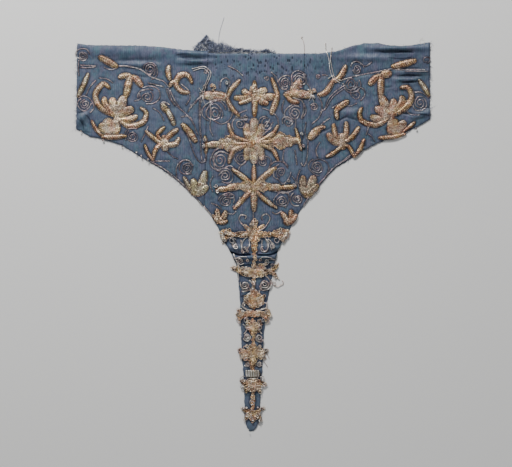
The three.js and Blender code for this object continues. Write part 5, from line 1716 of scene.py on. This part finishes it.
def silk_tangle(work):
    """Short curved fibres heaped under the tangle's upper limit."""
    limit = np.array(TANGLE_TOP, float)
    across = RNG.uniform(limit[0, 0], limit[-1, 0], TANGLE_TRIES)
    tries = np.stack([across, RNG.uniform(TANGLE_HIGHEST, TANGLE_FOOT, TANGLE_TRIES)], -1)
    tries = tries[tries[:, 1] > np.interp(tries[:, 0], limit[:, 0], limit[:, 1])]
    count = len(tries)
    share = np.linspace(-0.5, 0.5, FIBRE_RINGS)[None]
    heading = RNG.normal(-0.7, 0.7, (count, 1)) + RNG.normal(0, 2.2, (count, 1)) * share
    long = RNG.gamma(3, 1.1, (count, 1)).clip(1, 6)
    step = np.stack([np.cos(heading), -np.sin(heading)], -1) * (long / FIBRE_RINGS)[..., None]
    flat = chart(tries)[:, None] + np.cumsum(step, axis=1) - step.sum(axis=1, keepdims=True) / 2
    heap = 0.2 + 1.6 * RNG.random((count, 1)) ** 1.5 + 0.25 * np.cos(4 * share)
    tone = RNG.random(count)
    lay_fibres(work, at_height(flat, heap), RNG.uniform(0.10, 0.25, (count, 1)), tone)


def frayed_top():
    """The shredded strip at the top edge: its strands, a tangle, a short ragged band of fibres at
    their roots, and the one long thread."""
    work = Work()
    for points, thick in FRAYED_STRANDS:
        shredded_strand(work, points, thick)
    silk_tangle(work)
    fibre_fringe(work, chart([(209.5, 52.6), (222, 51.8), (246, 51.6), (276, 52.6)]), 1, 3.2, 2.0, 0.11)
    fibre_fringe(work, chart([(210, 52), (234, 51.5)]), 1, 3.4, 5.0, 0.1)
    line, _, along = smooth_line(chart(LONG_THREAD), 1.0)
    lay_thread(work, at_height(line, 0.4 + 0.5 * np.exp(-along / 5)), 0.16, sides=4)
    piece = work.finish("shredded_top_edge", [FIBRES])
    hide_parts("frayed_edge")


# Lamps: name, place and size in metres, and power
LAMPS = [("key", (-0.4, 1.2, 0.8), 0.3, 32), ("fill", (0.8, -0.9, 1.2), 1.5, 4)]


def stage_and_light():
    """A plain pale floor, a soft key light from above the top edge, a wide fill and a grey sky."""
    bpy.ops.mesh.primitive_plane_add(size=6)
    floor = bpy.context.object
    floor.name = "pale_floor"
    material, _, shader, _ = principled("pale_floor", Roughness=0.9)
    shader.inputs["Base Color"].default_value = (0.80, 0.79, 0.77, 1)
    floor.data.materials.append(material)
    world = bpy.data.worlds.new("grey_sky")
    world.use_nodes = True
    sky = world.node_tree.nodes["Background"]
    sky.inputs[0].default_value = (0.9, 0.95, 1, 1)
    sky.inputs[1].default_value = 0.22
    bpy.context.scene.world = world
    for name, place, size, power in LAMPS:
        light = bpy.data.lights.new(name, "AREA")
        light.size = size
        light.energy = power
        lamp = bpy.data.objects.new(name, light)
        lamp.location = place
        lamp.rotation_euler = (-lamp.location).to_track_quat("-Z", "Y").to_euler()
        bpy.context.scene.collection.objects.link(lamp)


# The view: its middle and width on the chart, and the lens and the sensor's width
VIEW_ACROSS = 256
VIEW_DOWN = 233.5
VIEW_WIDTH = 512
LENS = 85
SENSOR = 36


def camera():
    """Straight above, at the height where the lens takes in the view's width at the silk."""
    lens = bpy.data.cameras.new("straight_down")
    lens.lens = LENS
    lens.sensor_width = SENSOR
    eye = bpy.data.objects.new("straight_down", lens)
    height = VIEW_WIDTH * LENS / SENSOR + CLOTH_THICK
    eye.location = ((VIEW_ACROSS - CENTRE_ACROSS) * MM, (MIDDLE_DOWN - VIEW_DOWN) * MM, height * MM)
    bpy.context.scene.collection.objects.link(eye)
    bpy.context.scene.camera = eye


camera()
stage_and_light()

# The three pieces of silk, and the field of where they lie
laid = []
for solid, sections, columns, raw, swapped in (
        ("silk_left_wing", LEFT_WING, WING_COLUMNS, raw_wing, True),
        ("silk_centre", CENTRE, CENTRE_COLUMNS, raw_centre, False),
        ("silk_right_wing", RIGHT_WING, WING_COLUMNS, raw_wing, True)):
    silk, outline, spots = silk_sheet(f"{solid}_cloth", sections, columns, raw, swapped)
    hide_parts(solid)
    laid.extend(spots)
COVER = trail(laid, THREAD_SPREAD)

for motif, (metal_slot, leaves) in MOTIFS.items():
    motif_piece(motif, metal_slot, leaves)

# Couched pairs, paler down the tail and towards the middle, the loops, and all their stitches
couching = Work()
stitches = Work()
for line in COUCHED_LINES:
    brightness = fade_between(MIDDLE_DOWN - line[:, 1].mean(), 190, 260)
    brightness = brightness + 0.12 * (1 - fade_between(abs(line[:, 0].mean()), 25, 70))
    couch_pair(couching, line, pale=np.clip(brightness + RNG.normal(0.05, 0.12), 0, 1))
    couching_stitches(stitches, line)
for line in LOOP_LINES:
    height = ground_at(line) + (0.85 + 0.6 * arch_over(len(line)) + RNG.uniform(0, 0.4))
    lay_thread(couching, at_height(line, height), 0.42, 4, pale=RNG.uniform(0.8, 1))
for seam in (LEFT_SEAM, RIGHT_SEAM):
    couching_stitches(stitches, evenly(chart(seam), 1)[0], 3.6, 0.95, 0.3, 0.11)
couched = couching.finish("couched_scrolls", [COUCHED])
sewn = stitches.finish("couching_stitches", [STITCH_SILK])

frayed_top()

# Fibres along the raw edges: the edge, its outer side, how many to a millimetre, length and radius
fringe = Work()
for edge, outward, density, length, radius in (
        (chart(LEFT_WING[0]), -1, 2.6, 1.8, 0.11),
        (edge_of(LEFT_WING, 1), -1, 2.0, 1.4, 0.1),
        (edge_of(LEFT_WING, 0), 1, 0.35, 1.0, 0.09),
        (chart(RIGHT_WING[-1]), 1, 2.8, 1.9, 0.11),
        (edge_of(RIGHT_WING, 1), -1, 2.0, 1.4, 0.1),
        (edge_of(RIGHT_WING, 0), 1, 0.5, 1.2, 0.09),
        (edge_of(CENTRE[1:], 0), -1, 0.5, 0.8, 0.09),
        (edge_of(CENTRE[1:], 1), 1, 0.5, 0.8, 0.09)):
    fibre_fringe(fringe, edge, outward, density, length, radius)
fray = fringe.finish("frayed_fibres", [FIBRES])

# Loose threads, darker where they hang past the silk, and the spangles, pale domes as painted highlights
loose = Work()
for points, radius, arch in LOOSE_THREADS:
    line, _, _ = smooth_line(chart(points), 0.8)
    bright = 0.95 * fade_between(look_up(COVER, line).mean(), 0.2, 0.6)
    height = ground_at(line) + radius + 0.1 + arch * arch_over(len(line))
    lay_thread(loose, at_height(line, height), radius, sides=6, pale=bright, wear=1 - bright)
for place in GLINT_SPANGLES:
    line = chart(place) + np.array([[-0.45, 0.0], [0.0, 0.15], [0.45, 0.0]])
    lay_thread(loose, at_height(line, ground_at(line) + 2.3), 0.55, sides=6, pale=1)
strays = loose.finish("loose_threads", [LOOSE])
